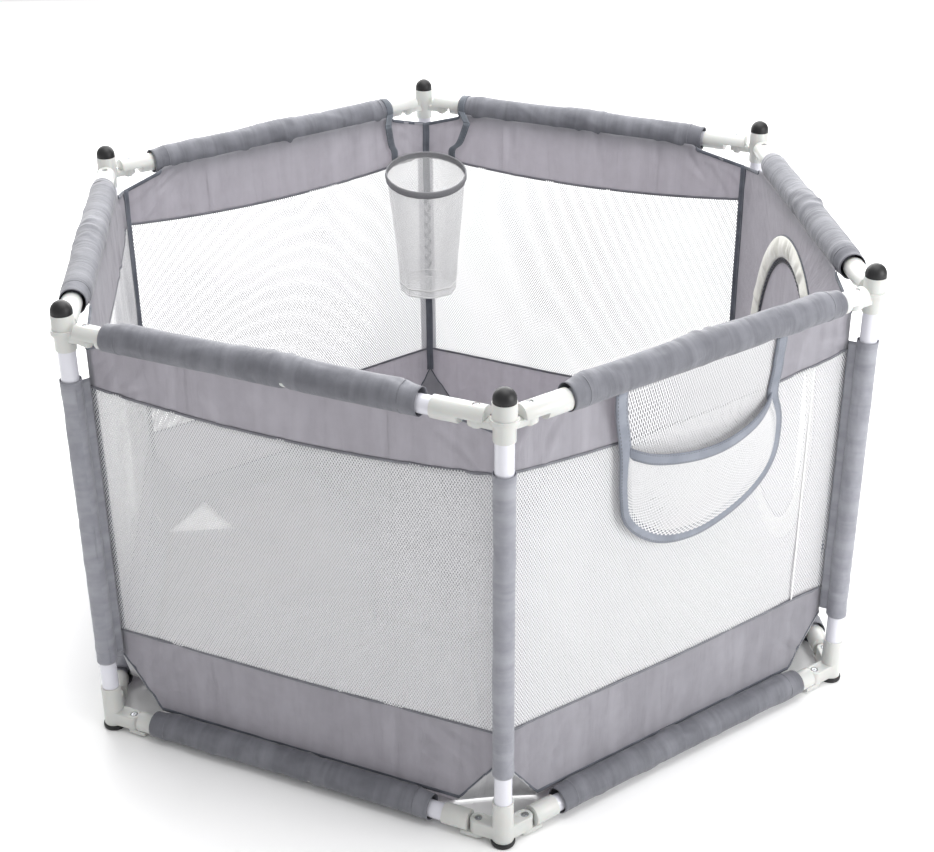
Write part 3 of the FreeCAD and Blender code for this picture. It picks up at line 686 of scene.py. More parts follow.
def build_posts():
    head = screw_head()
    for post in range(1, SIDES + 1):
        body = f"post_{post}"
        node = f"post_{post}_connectors"
        shell = moulded(node, f"{body}_connector_mouldings", PLASTIC, 0.9)
        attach(shell, body)
        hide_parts(node)
        heads = []
        for angle in (HALF_TURN, 180 - HALF_TURN):
            for z in (TOP_HEAD_Z, LOW_HEAD_Z):
                made = copied(head, "head")
                spin = Matrix.Rotation(math.radians(angle + 17 * post), 4, "Z")
                spot = Matrix.Rotation(math.radians(angle), 4, "Z") @ Vector((PIN_REACH, 0, z))
                settle(made, post_frame(post) @ Matrix.Translation(spot) @ spin)
                heads.append(made)
        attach(joined(heads, f"{body}_screw_heads"), body)

        def boot(u, v):
            angle = 2 * math.pi * u
            r = BOOT_R + BOOT_ROUND * np.sin(np.clip(v, 0.02, 1) * math.pi) ** 0.5
            return r * np.cos(angle), r * np.sin(angle), BOOT_LOW + BOOT_H * v

        ring = cloth(f"{body}_rubber_boot", RUBBER, (48, 6), boot, (0.1, 0.008), 1.0, round_seam=True)
        put(ring, post_frame(post), body)
    bpy.data.objects.remove(head)
    for side in range(1, SIDES + 1):
        for half in "ab":
            node = f"side_{side}{half}_fittings"
            shell = moulded(node, f"side_{side}{half}_fitting_mouldings", PLASTIC, 0.8)
            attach(shell, f"side_{side}{half}")
            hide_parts(node)


def finish_cad_nodes():
    """Gives the carried-over tubes, caps and feet their materials."""
    for name, node in frame["nodes"].items():
        if name.endswith("_tube") or name.endswith("_rails"):
            dress(node, STEEL)
        elif name.endswith("_caps"):
            dress(node, RUBBER)


def dress(node, material):
    node.data.materials.clear()
    node.data.materials.append(material)


# ---- rail covers ---------------------------------------------------------------------------
def cover_span(ends):
    return ends[0] - SIDE_HALF, SIDE_HALF - ends[1]


def cover_axis(x, z0, r, span):
    """Middle and radius of a cover at x: it is snug and centred on the rail at its ends."""
    near = np.minimum(x - span[0], span[1] - x)
    full = step((near - 2) / 34.0)
    rail_z = TOP_RAIL_Z if z0 > 300 else LOW_RAIL_Z
    return 1.5 + (COVER_Y - 1.5) * full, rail_z + 1.2 + (z0 - rail_z - 1.2) * full, \
        COVER_SNUG_R + (r - COVER_SNUG_R) * full


def cover_place(z0, r, bulge, made, span):
    """A tube of cloth round a rail, open at its ends: u runs along, v round from its underside."""
    def place(u, v):
        x = span[0] + (span[1] - span[0]) * u
        angle = 2 * math.pi * v
        near = np.minimum(x - span[0], span[1] - x)
        mid_y, mid_z, radius = cover_axis(x, z0, r, span)
        hinge = np.exp(-(x / 46.0) ** 2)
        up, inward = -np.cos(angle), np.sin(angle)
        s = angle * r
        wrinkle = fold_height(made, x, s) + fold_height(made, x, s - 2 * math.pi * r) \
            + fold_height(made, x, s + 2 * math.pi * r)
        hem = 0.4 * step((HEM - near) / 2.0)
        slack = -0.7 * step((near - 30) / 30) * (1 - hinge) * np.clip(up, 0, 1)
        over_hinge = bulge * hinge * np.clip(up + 0.3, 0, 1)
        radius = radius + wrinkle * step((near - 4) / 24.0) + hem + slack + over_hinge
        pull = 2.0 * np.clip(-up, 0, 1) ** 2
        return x, mid_y + inward * radius * 0.98 + pull, mid_z + up * radius
    return place


def rail_cover(side, name, z0, r, bulge, seed, span):
    around = 2 * math.pi * r
    made = folds(seed, 30, span, (0, around), (-35, 35), (16, 55), (3.5, 8), (0.6, 1.8))
    made += folds(seed + 1, 12, (-44, 44), (0, around), (40, 140), (14, 34), (3.5, 7), (0.8, 2.0))
    length = span[1] - span[0]
    piece = cloth(name, COVER_CLOTH, (124, 36), cover_place(z0, r, bulge, made, span),
                  (length * MM, around * MM), round_seam=True)
    settle(piece, side_frame(side))
    bend_mid(piece)
    return piece


def build_covers(side):
    rings = {"a": [], "b": []}
    for name, z0, r, bulge, ends, seed in (
            ("top", TOP_COVER_Z, TOP_COVER_R, 2.6, TOP_COVER_ENDS[side], 10 * side),
            ("bottom", LOW_COVER_Z, LOW_COVER_R, 0.0, LOW_COVER_ENDS[side], 10 * side + 5)):
        span = cover_span(ends)
        cover = rail_cover(side, f"side_{side}_{name}_cover", z0, r, bulge, seed, span)
        if name == "top":
            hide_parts(f"wall_{side}")
        # the stitched line of the hem near each end
        for half, x in (("a", span[0] + HEM), ("b", span[1] - HEM)):
            def place(u, v, x=x, z0=z0, r=r, span=span):
                angle = 2 * math.pi * u
                mid_y, mid_z, radius = cover_axis(np.full_like(u, x), z0, r, span)
                radius = radius + 0.7
                pull = 2.0 * np.clip(np.cos(angle), 0, 1) ** 2
                y = mid_y + np.sin(angle) * radius * 0.98 + pull
                return x + (v - 0.5) * HEM_STITCH, y, mid_z - np.cos(angle) * radius

            ring = cloth("ring", PIPING, (48, 1), place, (2 * math.pi * r * MM, 1.0), 0.7, round_seam=True)
            rings[half].append(settle(ring, side_frame(side)))
    for half, mine in rings.items():
        hem = joined(mine, f"side_{side}{half}_cover_hems")
        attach(hem, f"side_{side}{half}")


# ---- tub walls -----------------------------------------------------------------------------
def top_edge(side):
    """Height of the tub's top edge: under the cover, and falling to the corners beyond its ends."""
    span = cover_span(TOP_COVER_ENDS[side])

    def height(x):
        past = np.maximum(span[0] - x, x - span[1])
        far = np.where(x > 0, WALL_HALF - span[1], WALL_HALF + span[0])
        under = BAND_TOP + (BAND_TOP_FREE - BAND_TOP) * step((past + 12) / 12.0)
        return under + (BAND_TOP_CORNER - BAND_TOP_FREE) * np.clip(past / far, 0, 1)
    return height


def band_edge(x):
    return BAND_EDGE_END - BAND_SAG * (1 - (x / WALL_HALF) ** 2)


def low_band_edge(x):
    return LOW_BAND_TOP - 4.0 * np.cos(x / WALL_HALF * math.pi * 0.5) ** 2


def foot_edge(x):
    """Height of the lower band's foot, with its corners cut off."""
    rise = (np.abs(x) - (WALL_HALF - CUT_W)) / CUT_W
    return LOW_BAND_FOOT + (CUT_H * np.clip(rise, 0, 1))


def edge_calm(x):
    """Folds die out at the corner seams."""
    return step((WALL_HALF - np.abs(x)) / 14.0)


def wall_plane(x, z):
    """The taut cloth's plane: it leans towards the covers at top and bottom and bows a little."""
    y = WALL_Y + 1.2 * np.cos(x / WALL_HALF * math.pi / 2) * np.sin(np.clip((z - 40) / 600, 0, 1) * math.pi)
    y = y - 3.0 * step((60 - z) / 22.0) * (np.abs(x) < WALL_HALF)
    return y


def band(name, material, low_of, high_of, cells, made, flat_height):
    def place(u, v):
        x = (2 * u - 1) * WALL_HALF
        low, high = low_of(x), high_of(x)
        z = low + (high - low) * v
        y = wall_plane(x, z) - fold_height(made, x, z) * edge_calm(x)
        return x, y, z
    return cloth(name, material, cells, place, (2 * WALL_HALF * MM, flat_height * MM))


def end_folds(seed, z_range, reach):
    """Pull folds that fan out from the corners of a band."""
    made = []
    for x_range, angles in (((-WALL_HALF + 4, -WALL_HALF + reach), (20, 75)),
                            ((WALL_HALF - reach, WALL_HALF - 4), (105, 160))):
        made += folds(seed, 9, x_range, z_range, angles, (20, 60), (4, 9), (1.0, 2.6))
        seed += 1
    return made


def edge_strip(material, edge_of, width, proud, made, thick=0.8):
    """Narrow seam tape that follows a band's edge and folds, inside or outside."""
    def place(u, v):
        x = (2 * u - 1) * WALL_HALF
        z = edge_of(x) + (v - 0.5) * width
        return x, wall_plane(x, z) - fold_height(made, x, z) * edge_calm(x) + proud, z
    return cloth("strip", material, (100, 2), place, (2 * WALL_HALF * MM, 1.0), thick)


def build_mesh_wall(side):
    seed = 100 * side
    whole = (-WALL_HALF, WALL_HALF)
    hang = folds(seed + 3, 24, whole, (555, 645), (65, 112), (26, 60), (6, 13), (0.9, 2.3))
    hang += end_folds(seed + 5, (560, 640), 90)
    upper = band(f"wall_{side}_upper_band", OXFORD, band_edge, top_edge(side), (150, 24), hang, 90)
    zones(upper, side)

    ripples = folds(seed + 7, 12, whole, (170, 550), (50, 130), (80, 200), (20, 45), (0.8, 2.2))
    net = band(f"wall_{side}_net", WALL_NET, low_band_edge, band_edge, (72, 40), ripples, 390)
    zones(net, side)

    foot = folds(seed + 9, 12, whole, (50, 160), (60, 120), (25, 60), (8, 16), (0.8, 2.0))
    foot += end_folds(seed + 11, (60, 150), 110)
    lower = band(f"wall_{side}_lower_band", OXFORD, foot_edge, low_band_edge, (150, 32), foot, 122)
    zones(lower, side)

    strips = [edge_strip(PIPING, edge, width, proud, made)
              for edge, width, made in ((band_edge, 4.0, hang), (low_band_edge, 3.5, foot))
              for proud in (0.9, -0.9)]
    strips.append(edge_strip(BINDING, foot_edge, 5.0, 0.0, foot, 2.6))
    tapes = joined(strips, f"wall_{side}_seam_tapes")
    zones(tapes, side)
    if side == POCKET_SIDE:
        build_net_seam(side)


def build_net_seam(side):
    """The upright stitched join of the net beside the pocket."""
    def place(u, v):
        x = NET_SEAM_X + (v - 0.5) * 3.0 + 0 * u
        low, high = low_band_edge(x) + 2, band_edge(x) - 2
        z = low + (high - low) * u
        return x, wall_plane(x, z) - 1.2, z

    seam = cloth("wall_net_seam", WHITE_THREAD, (60, 2), place, (0.39, 1.0), 1.0)
    settle(seam, side_frame(side))
    bend_end(seam, side, True)


def free_edge_binding(side):
    """Tape over the tub's top edge between the end of the cover and the corner."""
    span = cover_span(TOP_COVER_ENDS[side])
    for last in (False, True):
        label = "last" if last else "first"
        x0, x1 = (span[1] - 6, WALL_HALF - 0.5) if last else (span[0] + 6, 0.5 - WALL_HALF)

        def place(u, v, x0=x0, x1=x1):
            x = x0 + (x1 - x0) * u
            return x, WALL_Y + 0.0 * x, top_edge(side)(x) + 1.5 - 5.5 * v

        tape = cloth(f"wall_{side}_top_binding_{label}", BINDING, (24, 3), place,
                     (abs(x1 - x0) * MM, 1.0), 3.0)
        settle(tape, side_frame(side))
        bend_end(tape, side, last)


def build_corner(post):
    """Dark seam tape down the tub's corner, inside and out, with its two wings on the walls."""
    wing = 7.0
    inset = WALL_Y / COS_HALF
    low, high = LOW_BAND_FOOT + CUT_H, BAND_TOP_CORNER + 1.5

    def place(u, v):
        z = low + (high - low) * u
        across = (v - 0.5) * 2 * wing
        wave = 0.7 * np.sin(z / 21.0) + 0.5 * np.sin(z / 8.3 + 1.0)
        x = across * COS_HALF + wave * 0.3
        y = inset + np.abs(across) * SIN_HALF + 1.2
        return x, y, z

    tape = cloth(f"corner_{post}_seam_tape", BINDING, (130, 4), place, ((high - low) * MM, 1.0), 1.8)
    put(tape, post_frame(post), f"post_{post}")


def build_sleeve(post):
    """Cloth sleeve on the post, with the web that holds the tub's corner."""
    low, high = sleeve_low.z, sleeve_high.z
    r = TUBE_R + 1.5
    made = folds(900 + post, 30, (low, high), (0, 2 * math.pi * r), (-50, 50), (14, 50), (3, 7), (0.3, 0.9))

    def round_post(u, v):
        z = low + (high - low) * u
        angle = 2 * math.pi * v
        near = np.minimum(z - low, high - z)
        radius = r + fold_height(made, z, angle * r) * step(near / 10) + 0.5 * step((12 - near) / 3)
        radius = radius + 1.2 * np.exp(-((angle - math.pi / 2) / 0.35) ** 2)
        return radius * np.cos(angle), radius * np.sin(angle), z

    sleeve = cloth(f"post_{post}_cloth_sleeve", SLEEVE_CLOTH, (120, 32), round_post,
                   ((high - low) * MM, 2 * math.pi * r * MM), round_seam=True)
    put(sleeve, post_frame(post), f"post_{post}")
    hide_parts(f"post_{post}_sleeve")

    reach = WALL_Y / COS_HALF

    def web(u, v):
        z = low + 6 + (high - low - 12) * u
        y = r - 1 + (reach - r + 1) * v
        return 0.8 * np.sin(z / 37.0 + post) * np.sin(v * math.pi), y, z

    web_piece = cloth(f"post_{post}_sleeve_web", SLEEVE_CLOTH, (70, 5), web,
                      ((high - low - 12) * MM, (reach - r) * MM), 2.0)
    put(web_piece, post_frame(post), f"post_{post}")


# ---- tub floor -----------------------------------------------------------------------------
FLOOR_Z = 5.5
FLOOR_RUN = 22.0
INNER_R = 170.0           # the middle of the floor follows the posts, the rest the half sides


def build_floor():
    apothem_y = APOTHEM - INNER_R * COS_HALF
    for side in range(1, SIDES + 1):
        for half, sign in (("a", -1), ("b", 1)):
            y_first = WALL_Y + FLOOR_RUN + 2

            def place(u, v, sign=sign):
                y = y_first + (apothem_y - y_first) * v
                x = sign * u * (APOTHEM - y) * TAN_HALF
                limit = WALL_HALF - CUT_W - FLOOR_RUN
                x = np.where(np.abs(x) > limit, sign * limit, x)
                return x, y, FLOOR_Z + 0 * x

            piece = cloth(f"floor_side_{side}{half}", OXFORD, (20, 26), place,
                          (SIDE_HALF * MM, (apothem_y - y_first) * MM), 1.6)
            if sign < 0:
                piece.data.flip_normals()
            settle(piece, side_frame(side))
            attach(piece, f"side_{side}{half}")
            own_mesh(piece)
        add_skirt(side)
    for post in range(1, SIDES + 1):
        def kite(u, v):
            """From the middle of the floor, v runs out to the kite's two short edges."""
            half = INNER_R * COS_HALF
            a = np.stack([np.zeros_like(u), np.full_like(u, CORNER_R)], axis=1)
            edge = half * SIN_HALF, CORNER_R - half * COS_HALF
            left, right = np.array([-edge[0], edge[1]]), np.array(edge)
            tip = np.array([0.0, CORNER_R - INNER_R])
            rim = np.where((u < 0.5)[:, None], left + (tip - left) * (2 * u)[:, None],
                           tip + (right - tip) * (2 * u - 1)[:, None])
            spot = a + (rim - a) * v[:, None]
            return spot[:, 0], spot[:, 1], FLOOR_Z + 0 * u

        piece = cloth(f"floor_middle_{post}", OXFORD, (12, 10), kite, (INNER_R * MM, INNER_R * MM), 1.6)
        settle(piece, post_frame(post))
        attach(piece, f"post_{post}")
        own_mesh(piece)
        if post == 1:
            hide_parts("tub_floor")


def add_skirt(side):
    """The sloping strip between the wall's foot and the floor cloth."""
    half = WALL_HALF - CUT_W

    def place(u, v):
        x = (2 * u - 1) * (half - FLOOR_RUN * v)
        y = WALL_Y - 2 + (FLOOR_RUN + 4) * v
        z = LOW_BAND_FOOT + (FLOOR_Z - LOW_BAND_FOOT) * v ** 0.8
        return x, y + 1.0 * np.sin(x / 23.0) * np.sin(v * math.pi), z

    piece = cloth(f"wall_{side}_skirt", OXFORD, (90, 6), place, (2 * half * MM, 42 * MM))
    settle(piece, side_frame(side))
    bend_mid(piece)


def build_corner_panel(post):
    """The tub's cut corner: a small sloping panel from the walls' cut edges down to the floor."""
    def from_side(x, y, sign):
        """A point of the next side's frame, in the post's frame; x counts from the frame's corner."""
        return sign * (x * COS_HALF - y * SIN_HALF), x * SIN_HALF + y * COS_HALF

    top = np.array([0, WALL_Y / COS_HALF, LOW_BAND_FOOT + CUT_H])
    reach = SIDE_HALF - WALL_HALF + CUT_W

    def place(u, v):
        sign = np.where(u < 0.5, -1.0, 1.0)
        t = np.abs(2 * u - 1)
        ex = (SIDE_HALF - WALL_HALF) + CUT_W * t
        cut_x, cut_y = from_side(ex, WALL_Y, sign)
        cut_z = LOW_BAND_FOOT + CUT_H * (1 - t)
        fx, fy = from_side(reach + FLOOR_RUN * 0.9, WALL_Y + FLOOR_RUN + 3, sign)
        fx, fy = fx * t, fy + (1 - t) * 2.0
        w = v ** 1.2
        pleat = 1.6 * np.sin(u * 26.0) * np.sin(v * math.pi)
        return cut_x + (fx - cut_x) * w, cut_y + (fy - cut_y) * w, cut_z + (FLOOR_Z - cut_z) * w + pleat

    def outer(u, v):
        x, y, z = place(u, v)
        return x, y - 1.6, z - 0.8

    for name, material, where in (("lower_panel", OXFORD, place), ("coated_side", COATED_CLOTH, outer)):
        piece = cloth(f"corner_{post}_{name}", material, (40, 10), where, (0.14, 0.09), 0.9)
        put(piece, post_frame(post), f"post_{post}")


# ---- zip door in side 2 --------------------------------------------------------------------
DOOR_SIDE = 2
DOOR_X = -5.0
DOOR_Z = (door_low.z + door_high.z) / 2
DOOR_W = door_high.y - DOOR_X
DOOR_H = (door_high.z - door_low.z) / 2
FACING_W = 36.0
DOOR_HINGE_X = door_low.y
TOOTH_COUNT = 230


def oval(angle, grow):
    return DOOR_X + (DOOR_W + grow) * np.sin(angle), DOOR_Z + (DOOR_H + grow) * np.cos(angle)


def build_door_wall():
    side = DOOR_SIDE
    made = folds(71, 16, (-WALL_HALF, WALL_HALF), (60, 640), (40, 140), (40, 120), (10, 22), (0.8, 2.4))
    made += end_folds(75, (560, 640), 90) + end_folds(77, (60, 200), 110)

    def wall(u, v):
        """u goes round the oval and v from the oval's edge out to the wall's outline."""
        angle = 2 * math.pi * u
        ox, oz = oval(angle, 1.0)
        dx, dz = np.sin(angle), np.cos(angle)
        # where the ray from the door's middle meets the wall's outline
        right, up = WALL_HALF - DOOR_X, BAND_TOP - DOOR_Z
        left, down = WALL_HALF + DOOR_X, DOOR_Z - LOW_BAND_FOOT
        reach_x = np.where(dx > 0, right, left) / np.maximum(np.abs(dx), 1e-6)
        reach_z = np.where(dz > 0, up, down) / np.maximum(np.abs(dz), 1e-6)
        reach = np.minimum(reach_x, reach_z)
        ex, ez = DOOR_X + dx * reach, DOOR_Z + dz * reach
        ex = np.clip(ex, -WALL_HALF, WALL_HALF)
        x, z = ox + (ex - ox) * v, oz + (ez - oz) * v
        z = np.clip(z, foot_edge(x), top_edge(side)(x))
        y = wall_plane(x, z) - fold_height(made, x, z) * edge_calm(x) * step((v - 0.05) / 0.3)
        return x, y, z

    panel = cloth(f"wall_{side}_cloth", OXFORD, (240, 26), wall, (2.0, 0.25), round_seam=True)
    parts = zones(panel, side)

    ruche = random.Random(5)
    waves = [(ruche.uniform(20, 70), ruche.uniform(0, 6.3), ruche.uniform(0.5, 1.2)) for _ in range(7)]

    def facing(u, v):
        angle = 2 * math.pi * u
        x, z = oval(angle, 4.0 + (FACING_W - 2) * v)
        pucker = sum(size * np.sin(angle * rate + phase + 1.5 * v) for rate, phase, size in waves)
        y = WALL_Y + 3.2 + 3.6 * np.sin(v * math.pi) + pucker * np.sin(v * math.pi) * 0.8
        return x, y, z

    ring = cloth("door_facing", FACING, (420, 10), facing, (1.3, FACING_W * MM), 1.0, round_seam=True)
    for part in zones(ring, side):
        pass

    def flat_ring(grow, width, proud):
        def place(u, v):
            x, z = oval(2 * math.pi * u, grow + (v - 0.5) * width)
            return x, WALL_Y + proud + 0 * u, z
        return place

    outer_binding, zip_tape = flat_ring(FACING_W + 1.5, 5, 1.6), flat_ring(-1.0, 9, 1.9)
    rings = [cloth("trim", BINDING, (200, 2), outer_binding, (1.4, 1.0), 1.6, round_seam=True),
             cloth("trim", ZIP, (200, 2), zip_tape, (1.2, 0.009), 0.9, round_seam=True)]
    rings.append(zip_teeth())
    trim = joined(rings, "door_zip")
    zones(trim, side)
    build_door_panel()
    zip_slider()


def zip_teeth():
    """Coarse moulded teeth all round the oval, a tooth each side in turn."""
    bpy.ops.object.select_all(action="DESELECT")
    bpy.ops.mesh.primitive_cube_add(size=1)
    tooth = named(bpy.context.object, "tooth", ZIP)
    tooth.scale = (3.4, 1.8, 2.6)
    bpy.ops.object.transform_apply(scale=True)
    modify(tooth, "BEVEL", width=0.5, segments=1)
    base = tooth.data
    bm = bmesh.new()
    for i in range(TOOTH_COUNT):
        angle = 2 * math.pi * i / TOOTH_COUNT
        x, z = oval(np.array([angle]), -1.0 + (1.1 if i % 2 else -1.1))
        tangent = math.atan2(-DOOR_H * math.sin(angle), DOOR_W * math.cos(angle))
        place = Matrix.Translation((x[0], WALL_Y + 3.0, z[0])) @ Matrix.Rotation(-tangent, 4, "Y")
        made = bmesh.new()
        made.from_mesh(base)
        made.transform(place)
        scratch = bpy.data.meshes.new("scratch")
        made.to_mesh(scratch)
        made.free()
        bm.from_mesh(scratch)
        bpy.data.meshes.remove(scratch)
    bm.to_mesh(base)
    bm.free()
    return tooth


def zip_slider():
    """A slider at the top of the zip and its pull tab."""
    bpy.ops.object.select_all(action="DESELECT")
    bpy.ops.mesh.primitive_cube_add(size=1, location=(0, 0, 0))
    slider = named(bpy.context.object, "slider", SCREW)
    slider.scale = (11, 5, 9)
    bpy.ops.object.transform_apply(scale=True)
    modify(slider, "BEVEL", width=1.6, segments=3)
    bpy.ops.mesh.primitive_cylinder_add(vertices=24, radius=4.2, depth=1.4, location=(0, 4.0, -14),
                                        rotation=(math.pi / 2, 0, 0))
    tab = named(bpy.context.object, "tab", SCREW)
    bpy.ops.object.transform_apply(location=True, rotation=True)
    bpy.ops.object.mode_set(mode="EDIT")
    bpy.ops.mesh.select_all(action="SELECT")
    bpy.ops.transform.resize(value=(1, 1, 2.1), center_override=(0, 4.0, -14))
    bpy.ops.object.mode_set(mode="OBJECT")
    modify(tab, "BEVEL", width=0.5, segments=2, limit_method="ANGLE")
    whole = joined([slider, tab], "door_zip_slider")
    smooth(whole, 35)
    x, z = oval(np.array([math.radians(-62)]), -1.0)
    settle(whole, side_frame(DOOR_SIDE) @ Matrix.Translation((x[0], WALL_Y + 4.0, z[0])))
    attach(whole, f"side_{DOOR_SIDE}a")


def build_door_panel():
    made = folds(81, 14, (-150, 150), (DOOR_Z - 200, DOOR_Z + 200), (50, 130), (50, 120), (12, 26),
                 (0.8, 2.2))

    def place(u, v):
        """u runs from the hinge line across, v up; each upright line ends on the oval."""
        x = DOOR_HINGE_X + (DOOR_X + DOOR_W - 2.0 - DOOR_HINGE_X) * np.sin(u * math.pi / 2)
        half = (DOOR_H - 2.0) * np.sqrt(np.clip(1 - ((x - DOOR_X) / DOOR_W) ** 2, 0, 1))
        z = DOOR_Z + half * (2 * v - 1)
        edge = np.minimum(1, 4 * v * (1 - v)) * np.cos(u * math.pi / 2) ** 0.3
        return x, WALL_Y - fold_height(made, x, z) * edge, z

    flap = cloth("door_flap", OXFORD, (60, 60), place, (0.28, 0.44))
    settle(flap, side_frame(DOOR_SIDE))
    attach(flap, "door")
    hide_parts("door_panel")
    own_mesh(flap)


# ---- storage pocket on side 1 --------------------------------------------------------------
POCKET_Y = 17.0
POCKET_EDGE = [(-131, 636), (-114, 546), (-110, 473), (-98, 428), (-48, 388), (15, 374), (75, 384),
               (128, 409), (158, 446), (163, 501), (151, 545), (157, 590), (151, 636)]
MOUTH = [(-107, 536), (-70, 519), (-20, 507), (30, 502), (75, 506), (118, 520), (149, 543)]
MOUTH_BULGE = 15.0


def pocket_outline(t):
    return curve_through(POCKET_EDGE, t)


def mouth_line(t):
    return curve_through(MOUTH, t)


def build_pocket():
    side = POCKET_SIDE
    first, last = 1.1 / 12, 10.0 / 12

    def bulge(u, v):
        along, down = np.clip(u, 0, 1) * math.pi, np.clip(v, 0, 1) * math.pi / 2
        return MOUTH_BULGE * np.sin(along) ** 0.6 * np.cos(down) ** 0.5

    made = folds(33, 10, (-110, 150), (380, 520), (60, 120), (40, 90), (12, 24), (0.8, 2.0))

    def front(u, v):
        rim, bowl = mouth_line(u), pocket_outline(first + (last - first) * u)
        spot = rim + (bowl - rim) * v[:, None]
        calm = np.sin(v * math.pi) * np.sin(u * math.pi)
        y = POCKET_Y - 1.5 - bulge(u, v) - fold_height(made, spot[:, 0], spot[:, 1]) * calm
        return spot[:, 0], y, spot[:, 1]

    def back(u, v):
        """From the cover's seam at v = 0 down to the outline."""
        left = pocket_outline(0.5 * v)
        right = pocket_outline(1 - 0.5 * v)
        spot = left + (right - left) * u[:, None]
        y = POCKET_Y - 9.0 * step((spot[:, 1] - 590) / 50.0) + 1.0
        return spot[:, 0], y + 0.8 * np.sin(spot[:, 0] / 30) * np.sin(spot[:, 1] / 40), spot[:, 1]

    front_piece = cloth("pocket_front_net", WALL_NET, (60, 36), front, (0.29, 0.14), 0.8)
    back_piece = cloth("pocket_back_net", WALL_NET, (48, 60), back, (0.28, 0.26), 0.8)

    def lean(t):
        spot = pocket_outline(t)
        return POCKET_Y - 9.0 * step((spot[:, 1] - 590) / 50.0) - 2.2

    steps = np.linspace(0, 1, 46)
    edge_points = [(x, y, z) for (x, z), y in zip(pocket_outline(steps), lean(steps))]

    def edge_across(u):
        ahead = pocket_outline(np.clip(u + 0.01, 0, 1)) - pocket_outline(np.clip(u - 0.01, 0, 1))
        return np.stack([ahead[:, 1], np.zeros(len(u)), -ahead[:, 0]], axis=1)

    edge = ribbon("pocket_edge_binding", POCKET_BINDING, edge_points, edge_across, 19.0, 3.0, 160,
                  crown=-0.8)
    mouth_points = [(x, POCKET_Y - 2.2 - MOUTH_BULGE * math.sin(math.pi * s) ** 0.6, z)
                    for (x, z), s in zip(mouth_line(np.linspace(0, 1, 30)), np.linspace(0, 1, 30))]
    mouth = ribbon("pocket_mouth_binding", POCKET_BINDING, mouth_points, steady(0, 0, 1), 16.0, 2.4, 90,
                   crown=0.8)
    for piece, slot, flat in ((front_piece, "white_net", (280, 150)), (back_piece, "white_net", (290, 260)),
                              (edge, "slate_webbing", None), (mouth, "slate_webbing", None)):
        settle(piece, side_frame(side))
        bend_mid(piece)
    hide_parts("storage_pocket")


# ---- ball hoop -----------------------------------------------------------------------------
HOOP_X = (ring_low.x + ring_high.x) / 2
HOOP_Y = (ring_low.y + ring_high.y) / 2
HOOP_Z = (ring_low.z + ring_high.z) / 2
HOOP_R = (ring_high.x - ring_low.x) / 2
HOOP_TILT = math.radians(11.0)
HOOP_BAND = 13.0
BASE_R = 50.0
BASE_Z = net_low.z
BASE_Y = 506.0


def tilted(x, y, z):
    """From the hoop's own frame to the row frame's directions, in millimetres."""
    return (HOOP_X + x, HOOP_Y + y * math.cos(HOOP_TILT) - z * math.sin(HOOP_TILT),
            HOOP_Z + y * math.sin(HOOP_TILT) + z * math.cos(HOOP_TILT))


def build_hoop():
    to_row = Matrix.Scale(MM, 4)

    def ring(u, v):
        angle = 2 * math.pi * u
        bow = 1.0 * np.sin(v * math.pi)
        r = HOOP_R - 1.6 + bow + 0.25 * np.sin(angle * 23)
        return tilted(r * np.cos(angle), r * np.sin(angle), (v - 0.5) * HOOP_BAND)

    band_piece = cloth("ball_hoop_band", HOOP_TAPE, (120, 6), ring,
                       (2 * math.pi * HOOP_R * MM, HOOP_BAND * MM), 2.2, round_seam=True)
    put(band_piece, to_row, "ball_hoop")
    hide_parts("ball_hoop_ring")

    def net(u, v):
        """v = 0 at the ring, 0.84 at the base's edge, and on to its middle."""
        angle = 2 * math.pi * u
        corner = 1 + 0.035 * np.cos(8 * angle) * step((v - 0.5) / 0.3)
        fall = np.clip(v / 0.84, 0, 1)
        inwards = np.clip((v - 0.84) / 0.16, 0, 1)
        rim = tilted((HOOP_R - 2.4) * np.cos(angle), (HOOP_R - 2.4) * np.sin(angle), -HOOP_BAND / 2 + 2)
        base_r = BASE_R * corner * (1 - inwards)
        low = HOOP_X + base_r * np.cos(angle), BASE_Y + base_r * np.sin(angle), BASE_Z + 2.0 + 0 * angle
        waist = 1.2 * np.sin(angle * 5 + 1) * np.sin(fall * math.pi)
        return (rim[0] + (low[0] - rim[0]) * fall + waist * np.cos(angle),
                rim[1] + (low[1] - rim[1]) * fall + waist * np.sin(angle),
                rim[2] + (low[2] - rim[2]) * fall)

    net_piece = cloth("ball_hoop_net_bag", FINE_NET, (72, 44), net, (0.4, 0.26), 0.7, round_seam=True)
    put(net_piece, to_row, "ball_hoop")
    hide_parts("ball_hoop_net")

    def seam(height, grow):
        def place(u, v):
            angle = 2 * math.pi * u
            corner = 1 + 0.035 * np.cos(8 * angle)
            r = (BASE_R + grow) * corner
            z = BASE_Z + height + (v - 0.5) * 2.4 + 0 * u
            return HOOP_X + r * np.cos(angle), BASE_Y + r * np.sin(angle), z

        thread = cloth("seam", WHITE_THREAD, (64, 1), place, (0.31, 1.0), 0.8, round_seam=True)
        return settle(thread, to_row)

    seams = joined([seam(2.2, 0.4), seam(16.0, 1.9)], "ball_hoop_net_seams")
    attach(seams, "ball_hoop")
    build_hoop_straps()


